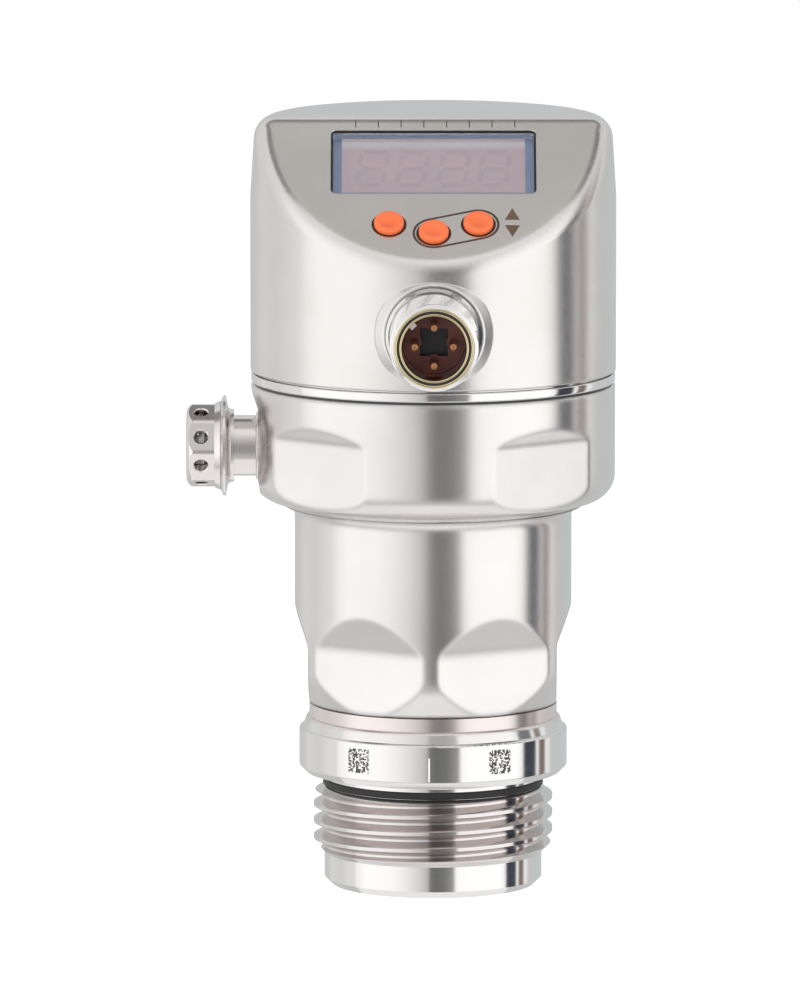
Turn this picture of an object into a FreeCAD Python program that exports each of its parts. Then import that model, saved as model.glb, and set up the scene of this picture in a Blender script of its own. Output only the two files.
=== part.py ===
"""Stainless flush pressure transmitter with a turning display head, in millimetres.

+Z is up, the axis of the device is Z, and the origin is the centre of the flat process-side
face.  The display panel and the electrical connector face -Y, the vent faces -X.
Every section below makes the pieces of one sub-assembly and names them in PARTS.
"""
import math
import os

import FreeCAD
import Part

V = FreeCAD.Vector
PARTS = {}

# ---------------------------------------------------------------- driving dimensions
# Clearances
SLIP = 0.05            # pieces that are assembled once and then stay
RUNNING = 0.3          # pieces that turn or slide past each other
GAP = 0.05             # flat faces that move on each other

# Process fitting: pilot, pipe thread G 1, undercut, collar and weld band
PILOT_R = 15.1
PILOT_H = 4.45
PILOT_CHAMFER = 1.0
THREAD_R = 16.62
THREAD_ROOT_R = 15.146
THREAD_PITCH = 2.309
THREAD_FLANK = 27.5    # half of the flank angle, degrees
THREAD_ROOT_FLAT = 0.3
THREAD_LEN = 9.4
THREAD_PHASE = 0.12    # turns from the +X side to the first groove
THREAD_OVERRUN = 1.3   # turns cut beyond the thread's own length
THREAD_OVER = 0.3      # the cutting section reaches this far past the crests
THREAD_END_SHARE = 0.6  # height of the slope behind the thread, per depth
UNDERCUT_R = 15.1
UNDERCUT_H = 2.0
UNDERCUT_ROUND = 0.5
COLLAR_R = 18.6
COLLAR_H = 6.1
COLLAR_CHAMFER = 0.9
COLLAR_EDGE = 0.3
SHOULDER_H = 1.7
SHOULDER_STEP = 0.5
SHOULDER_DROP = 0.15
SHOULDER_FOOT = 0.35
SHOULDER_ROUND = 0.6
BAND_R = 17.2
BAND_H = 1.9
SPIGOT_WALL = 1.4
SPIGOT_H = 4.0
SPIGOT_EDGE = 0.3
WELD_GROOVE = 0.12     # depth of the fine line where fitting and body are welded

# Measuring cell and what holds it
CELL_FACE_R = 9.6
CELL_FACE_H = 3.2
CELL_R = 12.3
CELL_BODY_H = 6.0
CELL_RECESS_R = 7.0
CELL_RECESS_H = 2.0
SEAL_COLLAR_H = 1.6
SEAL_WALL = 1.4
SPACER_H = 3.4
SPACER_WALL = 4.6
SENSOR_BOARD_T = 1.2
SENSOR_BOARD_LEDGE = 1.2
CELL_EDGE = 0.3
CLAMP_R = 13.2
CLAMP_H = 3.4
CLAMP_BORE_R = 9.4
CLAMP_SLOT_W = 2.4
CLAMP_SLOT_H = 1.2
CLAMP_EDGE = 0.4
LEAD_R = 1.6
LEAD_EDGE = 0.3
LEAD_SOCKET_W = 6.0
LEAD_SOCKET_RISE = 0.8
LEAD_SOCKET_H = 2.2

# Sensor body: neck with hexagon, and base with wrench flats
BODY_CLOCKING = -1.3   # degrees by which the lower body is turned on its axis
NECK_R = 19.2
NECK_FOOT_ROUND = 5.8
NECK_H = 27.6          # from the weld line to the step ring under the base
NECK_FILLET = 1.5
HEX_AF = 34.3
HEX_FLAT_H = 8.8       # from the weld line to the start of the run-out
HEX_RUNOUT = 22.4      # degrees from the axis
HEX_BLEND = 4.0
STEP_RING_R = 20.7
STEP_RING_H = 0.7
STEP_RING_EDGE = 0.2
BASE_R = 25.2
BASE_H = 16.2
BASE_CORNER = 3.7
BASE_EDGE = 0.2
BASE_FLAT_CUT = 1.45
BASE_FLAT_ANGLE = 40.0  # from the front or the back to the middle of each flat
BASE_FLAT_H = 10.0
BASE_FLAT_RUNOUT = 35.0
BASE_FLAT_BLEND = 1.5
VENT_FACE_CUT = 1.2
VENT_FACE_H = 12.9
VENT_FACE_RUNOUT = 24.0
VENT_FACE_W = 14.0
MILL_OVER = 1.0        # the flats' tools start this far below the face they leave
MILL_REACH = 6.0       # and stand this far out of the turned surface
NECK_BORE_R = 14.0
BASE_FLOOR = 3.4       # steel between the neck step and the base's cavity
BASE_CONE_H = 2.0      # height of the cone from the neck's bore to the cavity
BASE_CONE_ROUND = 1.0
BASE_CAVITY_ROUND = 1.5

# Joint between base and head
BASE_WALL = 2.6        # steel of the base outside the head's skirt
SKIRT_WALL = 1.9
SKIRT_H = 6.1
JOINT_LEDGE = 6.2      # depth of the base's upper bore
JOINT_LEDGE_W = 2.2
GASKET_H = 0.3
GASKET_INSET = 0.4
SEAM_RING_H = 1.3
SEAM_RING_EDGE = 0.25
SLIP_WASHER_H = 0.15
SLIP_WASHER_INSET = 0.8
ORING_R = 0.8
ORING_DEPTH = 1.3      # from the base's top to the O-ring's centre
SNAP_H = 0.9
SNAP_DEPTH = 2.5       # from the base's top to the snap ring's upper side
SNAP_IN_BASE = 0.6
SNAP_IN_SKIRT = 0.7
SNAP_GAP = 3.0
SNAP_GAP_ANGLE = 120.0
STOP_PIN_R = 0.8
STOP_PIN_EDGE = 0.2
STOP_PIN_SET = 2.5
STOP_HALF_ANGLE = 4.5  # half of the head's stop lug, degrees

# Head housing
HEAD_OVER = 0.1        # the head's radius exceeds the base's by this
HEAD_H = 35.3
HEAD_WALL = 2.0
HEAD_FLOOR = 1.2
HEAD_EDGE = 0.2
HEAD_DRAFT = 0.7
HEAD_DRAFT_H = 11.1
HEAD_DRAFT_BLEND = 30.0
HEAD_TOP_ROUND = 3.0
PANEL_EDGE = 3.0       # the panel's upper edge lies this far in front of the axis
PANEL_SLOPE = 38.5     # degrees below horizontal
PANEL_WALL = 2.0
PANEL_RIM = 3.2

# Display, measured down the panel from its upper edge
WINDOW_W = 28.2
WINDOW_L = 12.4
WINDOW_TOP = 2.4
WINDOW_CORNER = 0.8
WINDOW_T = 1.5
WINDOW_SET = 0.35      # depth of the glass below the panel
WINDOW_SEAL_T = 0.15
APERTURE_W = 25.0
APERTURE_TOP = 2.5
APERTURE_BOTTOM = 0.4
APERTURE_CORNER = 0.4
FRAME_FLANGE = 2.2
FRAME_T = 1.2
FRAME_CORNER = 1.0
FRAME_POST_R = 1.5
FRAME_POST_SPACE = 0.3  # from the window's lower edge to a post
FRAME_POST_INSET = 1.0  # from the aperture's side to a post's axis
DISPLAY_T = 4.3
DIGIT_COUNT = 4
DIGIT_W = 4.2
DIGIT_L = 7.0
DIGIT_PITCH = 5.9
DIGIT_STROKE = 0.7
DIGIT_DEPTH = 0.15
DIGIT_SPLIT = 0.15     # gap between two strokes of a digit
DISPLAY_BOARD_W = 29.0
DISPLAY_BOARD_L = 22.8
DISPLAY_BOARD_T = 1.2
DISPLAY_BOARD_TOP = 1.0  # the board reaches this far above the window
DISPLAY_BOARD_CORNER = 1.0
SCREW_R = 0.8
SCREW_HEAD_R = 1.5
SCREW_HEAD_H = 1.0

# Buttons
BUTTON_R = 2.05
BUTTON_X = 6.1
BUTTON_OUTER_L = 20.8  # the two outer buttons, down the panel
BUTTON_MIDDLE_L = 22.5
BUTTON_PROUD = 0.8
BUTTON_EDGE = 0.4
BUTTON_DISH = 0.35
BUTTON_DISH_R = 1.4
BUTTON_TRAVEL = 0.6
BUTTON_FLANGE = 0.7
BUTTON_FLANGE_T = 0.8
BUTTON_STEM_R = 1.0
SWITCH_W = 4.4
SWITCH_T = 1.5
SWITCH_CORNER = 0.4
SWITCH_DOME_R = 1.2
SWITCH_DOME_T = 0.4
SWITCH_DOME_TOP_R = 0.84
SWITCH_DOME_SINK = 0.1

# Electrical connector M12
CONNECTOR_RISE = 7.85  # its axis above the head's lower edge
BOSS_R = 8.1
BOSS_TOP_R = 6.9
BOSS_DROP = 1.2        # from the boss's face to the foot of its slope
BOSS_PROUD = 0.3       # the boss's face stands this far out of the head's front
BOSS_ROUND = 0.4
PAD_R = 7.4
PAD_T = 4.2            # from the boss's face to the seat of the nut inside
SHELL_FLANGE_R = 6.55
SHELL_FLANGE_T = 1.2
SHELL_FLANGE_CHAMFER = 0.35
SHELL_SEAL_R = 6.1
SHELL_SEAL_T = 0.35
SHELL_THREAD_R = 6.0
SHELL_REACH = 14.9     # from the boss's face to the shell's tip
SHELL_TIP_R = 5.45
SHELL_RELIEF_R = 5.4
SHELL_RELIEF_L = 1.2
SHELL_BORE_R = 4.35
SHELL_BORE_CHAMFER = 0.3
SHELL_STEM_R = 5.0
SHELL_STEM_L = 7.2     # from the boss's face inwards
SHELL_TAIL_BORE_R = 3.8
SHELL_SHOULDER = 2.6
CARRIER_SET = 7.5      # depth of the insert's face below the shell's tip
CARRIER_RECESS_W = 3.8
CARRIER_RECESS_D = 1.6
PIN_R = 0.5
PIN_CIRCLE_R = 2.6
PIN_BOSS_R = 0.95
PIN_SET = 1.5          # depth of the pins' tips below the shell's tip
PIN_END_ROUND = 0.3
PIN_TAIL_L = 2.4       # length of the pins behind the shell
KEY_W = 0.9
KEY_H = 0.55
KEY_ANGLE = 135.0
NUT_R = 6.2
NUT_T = 2.4
NUT_SLOT_W = 1.6

# Boards in the head
CARRIER_T = 1.2
CARRIER_OPENING = 32.0  # half angle of the gap in front, for the connector
MAIN_BOARD_Y = 6.0
MAIN_BOARD_W = 34.0
MAIN_BOARD_L = 24.0
MAIN_BOARD_T = 1.6
POST_W = 4.0
POST_D = 5.0
POST_L = 18.0
WIRE_R = 0.4

# Vent
VENT_RISE = 7.4        # its axis above the underside of the base
VENT_BORE_R = 2.0
STUB_R = 4.2
STUB_L = 3.6           # from the base's milled face to the flange
WELD_RING_R = 4.7
WELD_RING_L = 0.55
WELD_RING_ROUND = 0.25
FLANGE_R = 6.95
FLANGE_RISE = 1.3      # from the flange's back to the middle of its rim
FLANGE_FALL = 0.5      # from the middle of its rim to the seat of the cap
FLANGE_NECK_R = 5.05
FLANGE_NECK_L = 0.75
FLANGE_CURVE = 0.6
FLANGE_RIM = 0.3
FLANGE_SEAT_R = 6.25
VENT_NOSE_R = 3.6
VENT_NOSE_L = 1.9
VENT_SEAL_R = 0.5
MEMBRANE_T = 0.3
MEMBRANE_R = 3.1
CLIP_T = 0.8
CLIP_FIT = 0.1         # the cap turns round the clip with this clearance
CLIP_WALL = 1.4
CAP_R = 5.85
CAP_L = 4.74
CAP_COLLAR_R = 6.2
CAP_COLLAR_L = 0.8
CAP_WALL = 1.0
CAP_ROUND = 1.4
CAP_CORNER = 0.9
CAP_HOLE_R = 0.9
CAP_HOLE_RIM = 0.16    # depth of the countersink at each hole
CAP_HOLE_SHIFT = 0.3   # from the middle of the cap's length to the holes
CAP_HOLES = 8
CAP_CLOCKING = -24.5

# ---------------------------------------------------------------- levels that follow
COLLAR_Z = PILOT_H + THREAD_LEN + UNDERCUT_H
FITTING_TOP = COLLAR_Z + COLLAR_H + SHOULDER_H + BAND_H
BASE_Z = FITTING_TOP + NECK_H + STEP_RING_H
BASE_TOP = BASE_Z + BASE_H
RING_Z = BASE_TOP + GASKET_H
WASHER_Z = RING_Z + SEAM_RING_H
HEAD_Z = WASHER_Z + SLIP_WASHER_H + GAP
HEAD_TOP = HEAD_Z + HEAD_H
HEAD_FLOOR_Z = HEAD_Z + HEAD_FLOOR
LEDGE_Z = BASE_TOP - JOINT_LEDGE
SKIRT_Z = HEAD_Z - SKIRT_H
BASE_FLAT_R = BASE_R - BASE_FLAT_CUT
VENT_FACE_R = BASE_R - VENT_FACE_CUT
SKIRT_R = BASE_R - BASE_WALL
BASE_BORE_R = SKIRT_R - JOINT_LEDGE_W
UPPER_BORE_R = SKIRT_R + RUNNING
SKIRT_BORE_R = SKIRT_R - SKIRT_WALL
HEAD_R = BASE_R + HEAD_OVER
CAVITY_R = HEAD_R - HEAD_WALL
CONNECTOR_Z = HEAD_Z + CONNECTOR_RISE
BOSS_FACE = HEAD_R + BOSS_PROUD  # connector levels: distances from the axis of the device
PAD_FACE = BOSS_FACE - PAD_T
SHELL_TIP = BOSS_FACE + SHELL_REACH
SHELL_TAIL = BOSS_FACE - SHELL_STEM_L
CARRIER_FACE = SHELL_TIP - CARRIER_SET
PIN_TIP = SHELL_TIP - PIN_SET
PIN_TAIL = SHELL_TAIL - PIN_TAIL_L
VENT_Z = BASE_Z + VENT_RISE  # vent levels below: distances from the axis of the device
STUB_END = VENT_FACE_R + STUB_L
FLANGE_PEAK = STUB_END + FLANGE_RISE
FLANGE_OUT = FLANGE_PEAK + FLANGE_FALL
VENT_NOSE_END = FLANGE_OUT + VENT_NOSE_L
CAP_START = FLANGE_OUT + GAP
CAP_END = CAP_START + CAP_L
CELL_SHOULDER_Z = CELL_FACE_H
CELL_TOP = CELL_FACE_H + CELL_BODY_H
SPACER_TOP = CELL_TOP + SPACER_H
CLAMP_TOP = SPACER_TOP + CLAMP_H
FRAME_BACK = PANEL_WALL + FRAME_T
BOARD_FACE = FRAME_BACK + DISPLAY_T - SLIP
SOCKET_Z = HEAD_FLOOR_Z + LEAD_SOCKET_RISE
LEAD_TOP = SOCKET_Z - RUNNING


# ---------------------------------------------------------------- shape helpers
def add(name, shape):
    PARTS[name] = shape.removeSplitter()


def rounded_wire(corners, place):
    """Closed wire through (x, y) corners; a third value rounds that corner."""
    arcs = []
    for i, corner in enumerate(corners):
        p = V(corner[0], corner[1], 0)
        if len(corner) < 3:
            arcs.append((p, None, p))
            continue
        before = V(*corners[i - 1][:2], 0) - p
        after = V(*corners[(i + 1) % len(corners)][:2], 0) - p
        before.normalize()
        after.normalize()
        half = before.getAngle(after) / 2
        middle = before + after
        middle.normalize()
        reach = corner[2] / math.tan(half)
        sagitta = corner[2] / math.sin(half) - corner[2]
        arcs.append((p + before * reach, p + middle * sagitta, p + after * reach))
    edges = []
    for i, (start, middle, end) in enumerate(arcs):
        if middle is not None:
            edges.append(Part.Arc(place(start), place(middle), place(end)).toShape())
        following = arcs[(i + 1) % len(arcs)][0]
        if (following - end).Length > 1e-7:
            edges.append(Part.makeLine(place(end), place(following)))
    return Part.Wire(edges)


def upright(p):
    return V(p.x, 0, p.y)


def turned(corners):
    """Solid of revolution about Z from (radius, height) corners."""
    return Part.Face(rounded_wire(corners, upright)).revolve(V(0, 0, 0), V(0, 0, 1), 360)


def plate(corners, thickness, z=0.0):
    """Flat plate from (x, y) corners, standing on the height z."""
    face = Part.Face(rounded_wire(corners, lambda p: V(p.x, p.y, z)))
    return face.extrude(V(0, 0, thickness))


def disc(radius, z0, z1, x=0.0, y=0.0):
    return Part.makeCylinder(radius, z1 - z0, V(x, y, z0))


def ring(outer, inner, z0, z1):
    return disc(outer, z0, z1).cut(disc(inner, z0, z1))


def block(x0, x1, y0, y1, z0, z1):
    return Part.makeBox(x1 - x0, y1 - y0, z1 - z0, V(x0, y0, z0))


def rectangle(x0, x1, y0, y1, corner):
    return [(x0, y0, corner), (x1, y0, corner), (x1, y1, corner), (x0, y1, corner)]


def spun(shape, angle):
    """The shape turned about Z by an angle in degrees."""
    copy = shape.copy()
    copy.rotate(V(0, 0, 0), V(0, 0, 1), angle)
    return copy


def seen_from_front(angle):
    """Angle about Z of a direction given from the front (-Y), positive towards +X."""
    return angle - 90.0


def placed(shape, placement):
    copy = shape.copy()
    copy.Placement = placement.multiply(copy.Placement)
    return copy


ON_PANEL = FreeCAD.Placement(V(0, -PANEL_EDGE, HEAD_TOP), FreeCAD.Rotation(V(1, 0, 0), PANEL_SLOPE))
ON_CONNECTOR = FreeCAD.Placement(V(0, 0, CONNECTOR_Z), FreeCAD.Rotation(V(1, 0, 0), 90))
ON_VENT = FreeCAD.Placement(V(0, 0, VENT_Z), FreeCAD.Rotation(V(0, 1, 0), -90))


def flat_cutter(reach, bottom, flat_top, runout, blend, width, body_r):
    """Tool that mills one flat facing +X, with a slanted run-out at its upper end."""
    beyond = body_r + MILL_REACH
    top = flat_top + (beyond - reach) / math.tan(math.radians(runout))
    side = [(reach, bottom), (beyond, bottom), (beyond, top), (reach, flat_top, blend)]
    face = Part.Face(rounded_wire(side, lambda p: V(p.x, -width / 2, p.y)))
    return face.extrude(V(0, width, 0))


# ---------------------------------------------------------------- process side
def threaded_bar():
    """Bar of the thread's major diameter with the right-hand V groove of the pipe thread."""
    start = PILOT_H - (1.0 + THREAD_PHASE) * THREAD_PITCH
    turns = THREAD_LEN / THREAD_PITCH + THREAD_OVERRUN
    helix = Part.makeHelix(THREAD_PITCH, turns * THREAD_PITCH, THREAD_ROOT_R)
    helix.translate(V(0, 0, start))
    over = THREAD_R + THREAD_OVER
    half_root = THREAD_ROOT_FLAT / 2
    half_mouth = half_root + (over - THREAD_ROOT_R) * math.tan(math.radians(THREAD_FLANK))
    corners = [V(THREAD_ROOT_R, 0, start - half_root), V(over, 0, start - half_mouth),
               V(over, 0, start + half_mouth), V(THREAD_ROOT_R, 0, start + half_root)]
    section = Part.makePolygon(corners + corners[:1])
    groove = Part.Wire(helix.Edges).makePipeShell([section], True, True)
    return disc(THREAD_R, start - THREAD_PITCH, COLLAR_Z + THREAD_PITCH).cut(groove)


def cut_thread(body):
    """The body with its stretch between pilot and collar cut to the thread's form."""
    low = PILOT_H / 2
    high = COLLAR_Z - UNDERCUT_H / 2
    stretch = disc(2 * COLLAR_R, low, high)
    return body.cut(stretch).fuse(body.common(stretch).common(threaded_bar()))


def process_fitting():
    """One turned piece: pilot, thread, undercut, collar, weld band and locating spigot."""
    chamfer = THREAD_R - PILOT_R
    thread_top = PILOT_H + THREAD_LEN
    shoulder_z = COLLAR_Z + COLLAR_H
    spigot_r = NECK_BORE_R + SPIGOT_WALL
    outside = [(0, 0), (PILOT_R - PILOT_CHAMFER, 0), (PILOT_R, PILOT_CHAMFER), (PILOT_R, PILOT_H),
               (THREAD_R, PILOT_H + chamfer),
               (THREAD_R, thread_top - THREAD_END_SHARE * chamfer),
               (UNDERCUT_R, thread_top), (UNDERCUT_R, COLLAR_Z, UNDERCUT_ROUND),
               (COLLAR_R - COLLAR_CHAMFER, COLLAR_Z),
               (COLLAR_R, COLLAR_Z + COLLAR_CHAMFER, COLLAR_EDGE), (COLLAR_R, shoulder_z, COLLAR_EDGE),
               (COLLAR_R - SHOULDER_STEP, shoulder_z + SHOULDER_DROP),
               (BAND_R + SHOULDER_FOOT, shoulder_z + SHOULDER_H, SHOULDER_ROUND),
               (BAND_R, shoulder_z + SHOULDER_H),
               (BAND_R, FITTING_TOP - WELD_GROOVE), (BAND_R - WELD_GROOVE, FITTING_TOP),
               (spigot_r - SLIP, FITTING_TOP), (spigot_r - SLIP, FITTING_TOP + SPIGOT_H, SPIGOT_EDGE),
               (0, FITTING_TOP + SPIGOT_H)]
    body = cut_thread(turned(outside))
    lip_r = CELL_FACE_R + SEAL_WALL
    bore_r = CELL_R + SLIP
    clamp_bore_r = CLAMP_R + SLIP
    inside = [(0, 0), (lip_r, 0), (lip_r, SEAL_COLLAR_H), (bore_r, SEAL_COLLAR_H),
              (bore_r, SPACER_TOP), (clamp_bore_r, SPACER_TOP), (clamp_bore_r, CLAMP_TOP),
              (NECK_BORE_R, CLAMP_TOP), (NECK_BORE_R, FITTING_TOP + SPIGOT_H),
              (0, FITTING_TOP + SPIGOT_H)]
    return body.cut(turned(inside))


def measuring_cell():
    """Ceramic cell: flush face, shoulder on the seal and a recess for the board behind."""
    cell = turned([(0, 0), (CELL_FACE_R - SLIP, 0), (CELL_FACE_R - SLIP, CELL_SHOULDER_Z),
                   (CELL_R, CELL_SHOULDER_Z), (CELL_R, CELL_TOP, CELL_EDGE), (0, CELL_TOP)])
    return cell.cut(disc(CELL_RECESS_R, CELL_TOP - CELL_RECESS_H, CELL_TOP))


def front_seal():
    """Seal ring: its collar is flush with the face, its flange lies under the cell's shoulder."""
    lip_r = CELL_FACE_R + SEAL_WALL
    return turned([(CELL_FACE_R, 0), (lip_r - SLIP, 0), (lip_r - SLIP, SEAL_COLLAR_H),
                   (CELL_R, SEAL_COLLAR_H), (CELL_R, CELL_SHOULDER_Z), (CELL_FACE_R, CELL_SHOULDER_Z)])


def clamp_ring():
    """Threaded ring with two key slots that clamps spacer, cell and seal."""
    body = turned([(CLAMP_BORE_R, SPACER_TOP), (CLAMP_R, SPACER_TOP, CLAMP_EDGE),
                   (CLAMP_R, CLAMP_TOP, CLAMP_EDGE), (CLAMP_BORE_R, CLAMP_TOP)])
    slot = block(-CLAMP_R, CLAMP_R, -CLAMP_SLOT_W / 2, CLAMP_SLOT_W / 2,
                 CLAMP_TOP - CLAMP_SLOT_H, CLAMP_TOP)
    return body.cut(slot)


def make_process_side():
    add("process_fitting", process_fitting())
    add("measuring_cell", measuring_cell())
    add("front_seal", front_seal())
    board_r = CELL_R - SPACER_WALL + SENSOR_BOARD_LEDGE
    board_z = SPACER_TOP - SENSOR_BOARD_T
    spacer = ring(CELL_R, CELL_R - SPACER_WALL, CELL_TOP, SPACER_TOP)
    add("cell_spacer", spacer.cut(disc(board_r + SLIP, board_z, SPACER_TOP)))
    add("sensor_board", disc(board_r, board_z, SPACER_TOP))
    add("clamp_ring", clamp_ring())
    add("signal_lead", turned([(0, SPACER_TOP), (2 * LEAD_R, SPACER_TOP),
                               (2 * LEAD_R, SPACER_TOP + 2 * LEAD_R, LEAD_EDGE),
                               (LEAD_R, SPACER_TOP + 2 * LEAD_R),
                               (LEAD_R, LEAD_TOP, LEAD_EDGE), (0, LEAD_TOP)]))


# ---------------------------------------------------------------- sensor body
def sensor_body():
    """One turned piece: neck with a milled hexagon, step ring and base with wrench flats."""
    ring_z = BASE_Z - STEP_RING_H
    foot_drop = math.sqrt(NECK_FOOT_ROUND ** 2 - (NECK_FOOT_ROUND - (NECK_R - BAND_R)) ** 2)
    outer = [(0, FITTING_TOP), (BAND_R - WELD_GROOVE, FITTING_TOP),
             (BAND_R, FITTING_TOP + WELD_GROOVE), (NECK_R, FITTING_TOP + foot_drop, NECK_FOOT_ROUND),
             (NECK_R, ring_z, NECK_FILLET), (STEP_RING_R, ring_z, STEP_RING_EDGE), (STEP_RING_R, BASE_Z),
             (BASE_R, BASE_Z, BASE_CORNER), (BASE_R, BASE_TOP - BASE_EDGE), (BASE_R - BASE_EDGE, BASE_TOP),
             (0, BASE_TOP)]
    body = turned(outer)
    for k in range(6):
        tool = flat_cutter(HEX_AF / 2, FITTING_TOP - MILL_OVER, FITTING_TOP + HEX_FLAT_H, HEX_RUNOUT,
                           HEX_BLEND, 2 * NECK_R, NECK_R)
        body = body.cut(spun(tool, seen_from_front(30 + 60 * k) + BODY_CLOCKING))
    for angle in (BASE_FLAT_ANGLE, 180 - BASE_FLAT_ANGLE, 180 + BASE_FLAT_ANGLE, -BASE_FLAT_ANGLE):
        tool = flat_cutter(BASE_FLAT_R, BASE_Z - MILL_OVER, BASE_Z + BASE_FLAT_H, BASE_FLAT_RUNOUT,
                           BASE_FLAT_BLEND, 2 * BASE_R, BASE_R)
        body = body.cut(spun(tool, seen_from_front(angle) + BODY_CLOCKING))
    vent_face = flat_cutter(VENT_FACE_R, BASE_Z - MILL_OVER, BASE_Z + VENT_FACE_H, VENT_FACE_RUNOUT,
                            BASE_FLAT_BLEND, VENT_FACE_W, BASE_R)
    body = body.cut(spun(vent_face, seen_from_front(-90)))
    spigot_r = NECK_BORE_R + SPIGOT_WALL
    cavity_z = BASE_Z + BASE_FLOOR
    cavity = [(0, FITTING_TOP), (spigot_r, FITTING_TOP), (spigot_r, FITTING_TOP + SPIGOT_H),
              (NECK_BORE_R, FITTING_TOP + SPIGOT_H),
              (NECK_BORE_R, cavity_z - BASE_CONE_H, BASE_CONE_ROUND),
              (BASE_BORE_R, cavity_z, BASE_CAVITY_ROUND), (BASE_BORE_R, LEDGE_Z), (UPPER_BORE_R, LEDGE_Z),
              (UPPER_BORE_R, BASE_TOP), (0, BASE_TOP)]
    body = body.cut(turned(cavity))
    snap_top = BASE_TOP - SNAP_DEPTH
    body = body.cut(disc(UPPER_BORE_R + SNAP_IN_BASE, snap_top - SNAP_H - SLIP, snap_top))
    body = body.cut(placed(disc(STUB_R + SLIP, BASE_BORE_R - MILL_OVER, BASE_R + MILL_OVER), ON_VENT))
    pin_at = stop_pin_radius()
    return body.cut(disc(STOP_PIN_R, LEDGE_Z - STOP_PIN_SET, LEDGE_Z, 0, pin_at))


def stop_pin_radius():
    return (SKIRT_R + SKIRT_BORE_R) / 2


# ---------------------------------------------------------------- joint with the head
def snap_ring():
    """Split ring that sits in the base's groove and reaches into the skirt's groove."""
    top = BASE_TOP - SNAP_DEPTH
    inner = SKIRT_R - SNAP_IN_SKIRT
    body = ring(UPPER_BORE_R + SNAP_IN_BASE - SLIP, inner, top - SNAP_H, top)
    gap = block(-SNAP_GAP / 2, SNAP_GAP / 2, 0, BASE_R, top - SNAP_H, top)
    return body.cut(spun(gap, SNAP_GAP_ANGLE))


def make_turning_joint():
    add("sensor_body", sensor_body())
    add("base_gasket", ring(BASE_R - GASKET_INSET, UPPER_BORE_R, BASE_TOP, RING_Z))
    add("seam_ring", turned([(UPPER_BORE_R, RING_Z), (BASE_R, RING_Z, SEAM_RING_EDGE),
                             (BASE_R, WASHER_Z, SEAM_RING_EDGE), (UPPER_BORE_R, WASHER_Z)]))
    add("slip_washer", ring(BASE_R - SLIP_WASHER_INSET, UPPER_BORE_R, WASHER_Z,
                            WASHER_Z + SLIP_WASHER_H))
    add("snap_ring", snap_ring())
    seal_z = BASE_TOP - ORING_DEPTH
    seal = Part.makeTorus(UPPER_BORE_R - ORING_R - RUNNING / 3, ORING_R, V(0, 0, seal_z))
    add("head_seal", seal)
    pin_at = stop_pin_radius()
    pin = disc(STOP_PIN_R, LEDGE_Z - STOP_PIN_SET, SKIRT_Z - RUNNING, 0, pin_at)
    add("stop_pin", pin.makeFillet(STOP_PIN_EDGE, [pin.Edges[0]]))


# ---------------------------------------------------------------- head housing
def panel_side(shape, depth):
    """The shape without all that stands outside a plane this far under the panel."""
    above = block(-3 * HEAD_R, 3 * HEAD_R, -3 * HEAD_R, 3 * HEAD_R, -depth, 2 * HEAD_R)
    return shape.cut(placed(above, ON_PANEL))


def on_panel_plane(edge):
    """True for an edge of the panel other than its straight upper edge."""
    span = edge.LastParameter - edge.FirstParameter
    points = [edge.valueAt(edge.FirstParameter + span * share) for share in (0.1, 0.5, 0.9)]
    local = [ON_PANEL.inverse().multVec(point) for point in points]
    in_plane = all(abs(point.z) < 1e-4 for point in local)
    return in_plane and not all(abs(point.y) < 1e-3 for point in local)


def head_housing():
    """Hollow head with inclined panel, connector boss, window, button holes and skirt."""
    draft_z = HEAD_TOP - HEAD_DRAFT_H
    top_r = HEAD_R - HEAD_DRAFT
    outer = turned([(0, HEAD_Z), (HEAD_R - HEAD_EDGE, HEAD_Z), (HEAD_R, HEAD_Z + HEAD_EDGE),
                    (HEAD_R, draft_z, HEAD_DRAFT_BLEND), (top_r, HEAD_TOP, HEAD_TOP_ROUND),
                    (0, HEAD_TOP)])
    outer = panel_side(outer, 0)
    outer = outer.makeFillet(PANEL_RIM, [edge for edge in outer.Edges if on_panel_plane(edge)])
    boss = turned([(0, PAD_FACE), (BOSS_R, PAD_FACE), (BOSS_R, BOSS_FACE - BOSS_DROP, BOSS_ROUND),
                   (BOSS_TOP_R, BOSS_FACE, BOSS_ROUND), (0, BOSS_FACE)])
    boss = placed(boss, ON_CONNECTOR).common(disc(2 * HEAD_R, HEAD_Z, HEAD_TOP))
    body = outer.fuse(boss)
    roof_z = HEAD_TOP - HEAD_WALL
    cavity = turned([(0, HEAD_FLOOR_Z), (CAVITY_R, HEAD_FLOOR_Z), (CAVITY_R, draft_z),
                     (CAVITY_R - HEAD_DRAFT, roof_z, HEAD_TOP_ROUND), (0, roof_z)])
    cavity = panel_side(cavity, PANEL_WALL)
    body = body.cut(cavity.cut(placed(disc(PAD_R, PAD_FACE, BOSS_FACE), ON_CONNECTOR)))
    body = body.cut(disc(SKIRT_BORE_R, HEAD_Z, HEAD_FLOOR_Z))
    body = body.fuse(skirt())
    body = body.cut(placed(disc(SHELL_STEM_R + SLIP, PAD_FACE - HEAD_WALL, BOSS_FACE + HEAD_WALL),
                           ON_CONNECTOR))
    window = rectangle(-WINDOW_W / 2, WINDOW_W / 2, -WINDOW_TOP - WINDOW_L, -WINDOW_TOP, WINDOW_CORNER)
    body = body.cut(placed(plate(window, 3 * PANEL_WALL, -2 * PANEL_WALL), ON_PANEL))
    for x, down in button_places():
        hole = disc(BUTTON_R + RUNNING, -2 * PANEL_WALL, PANEL_WALL, x, -down)
        body = body.cut(placed(hole, ON_PANEL))
    return body


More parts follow.
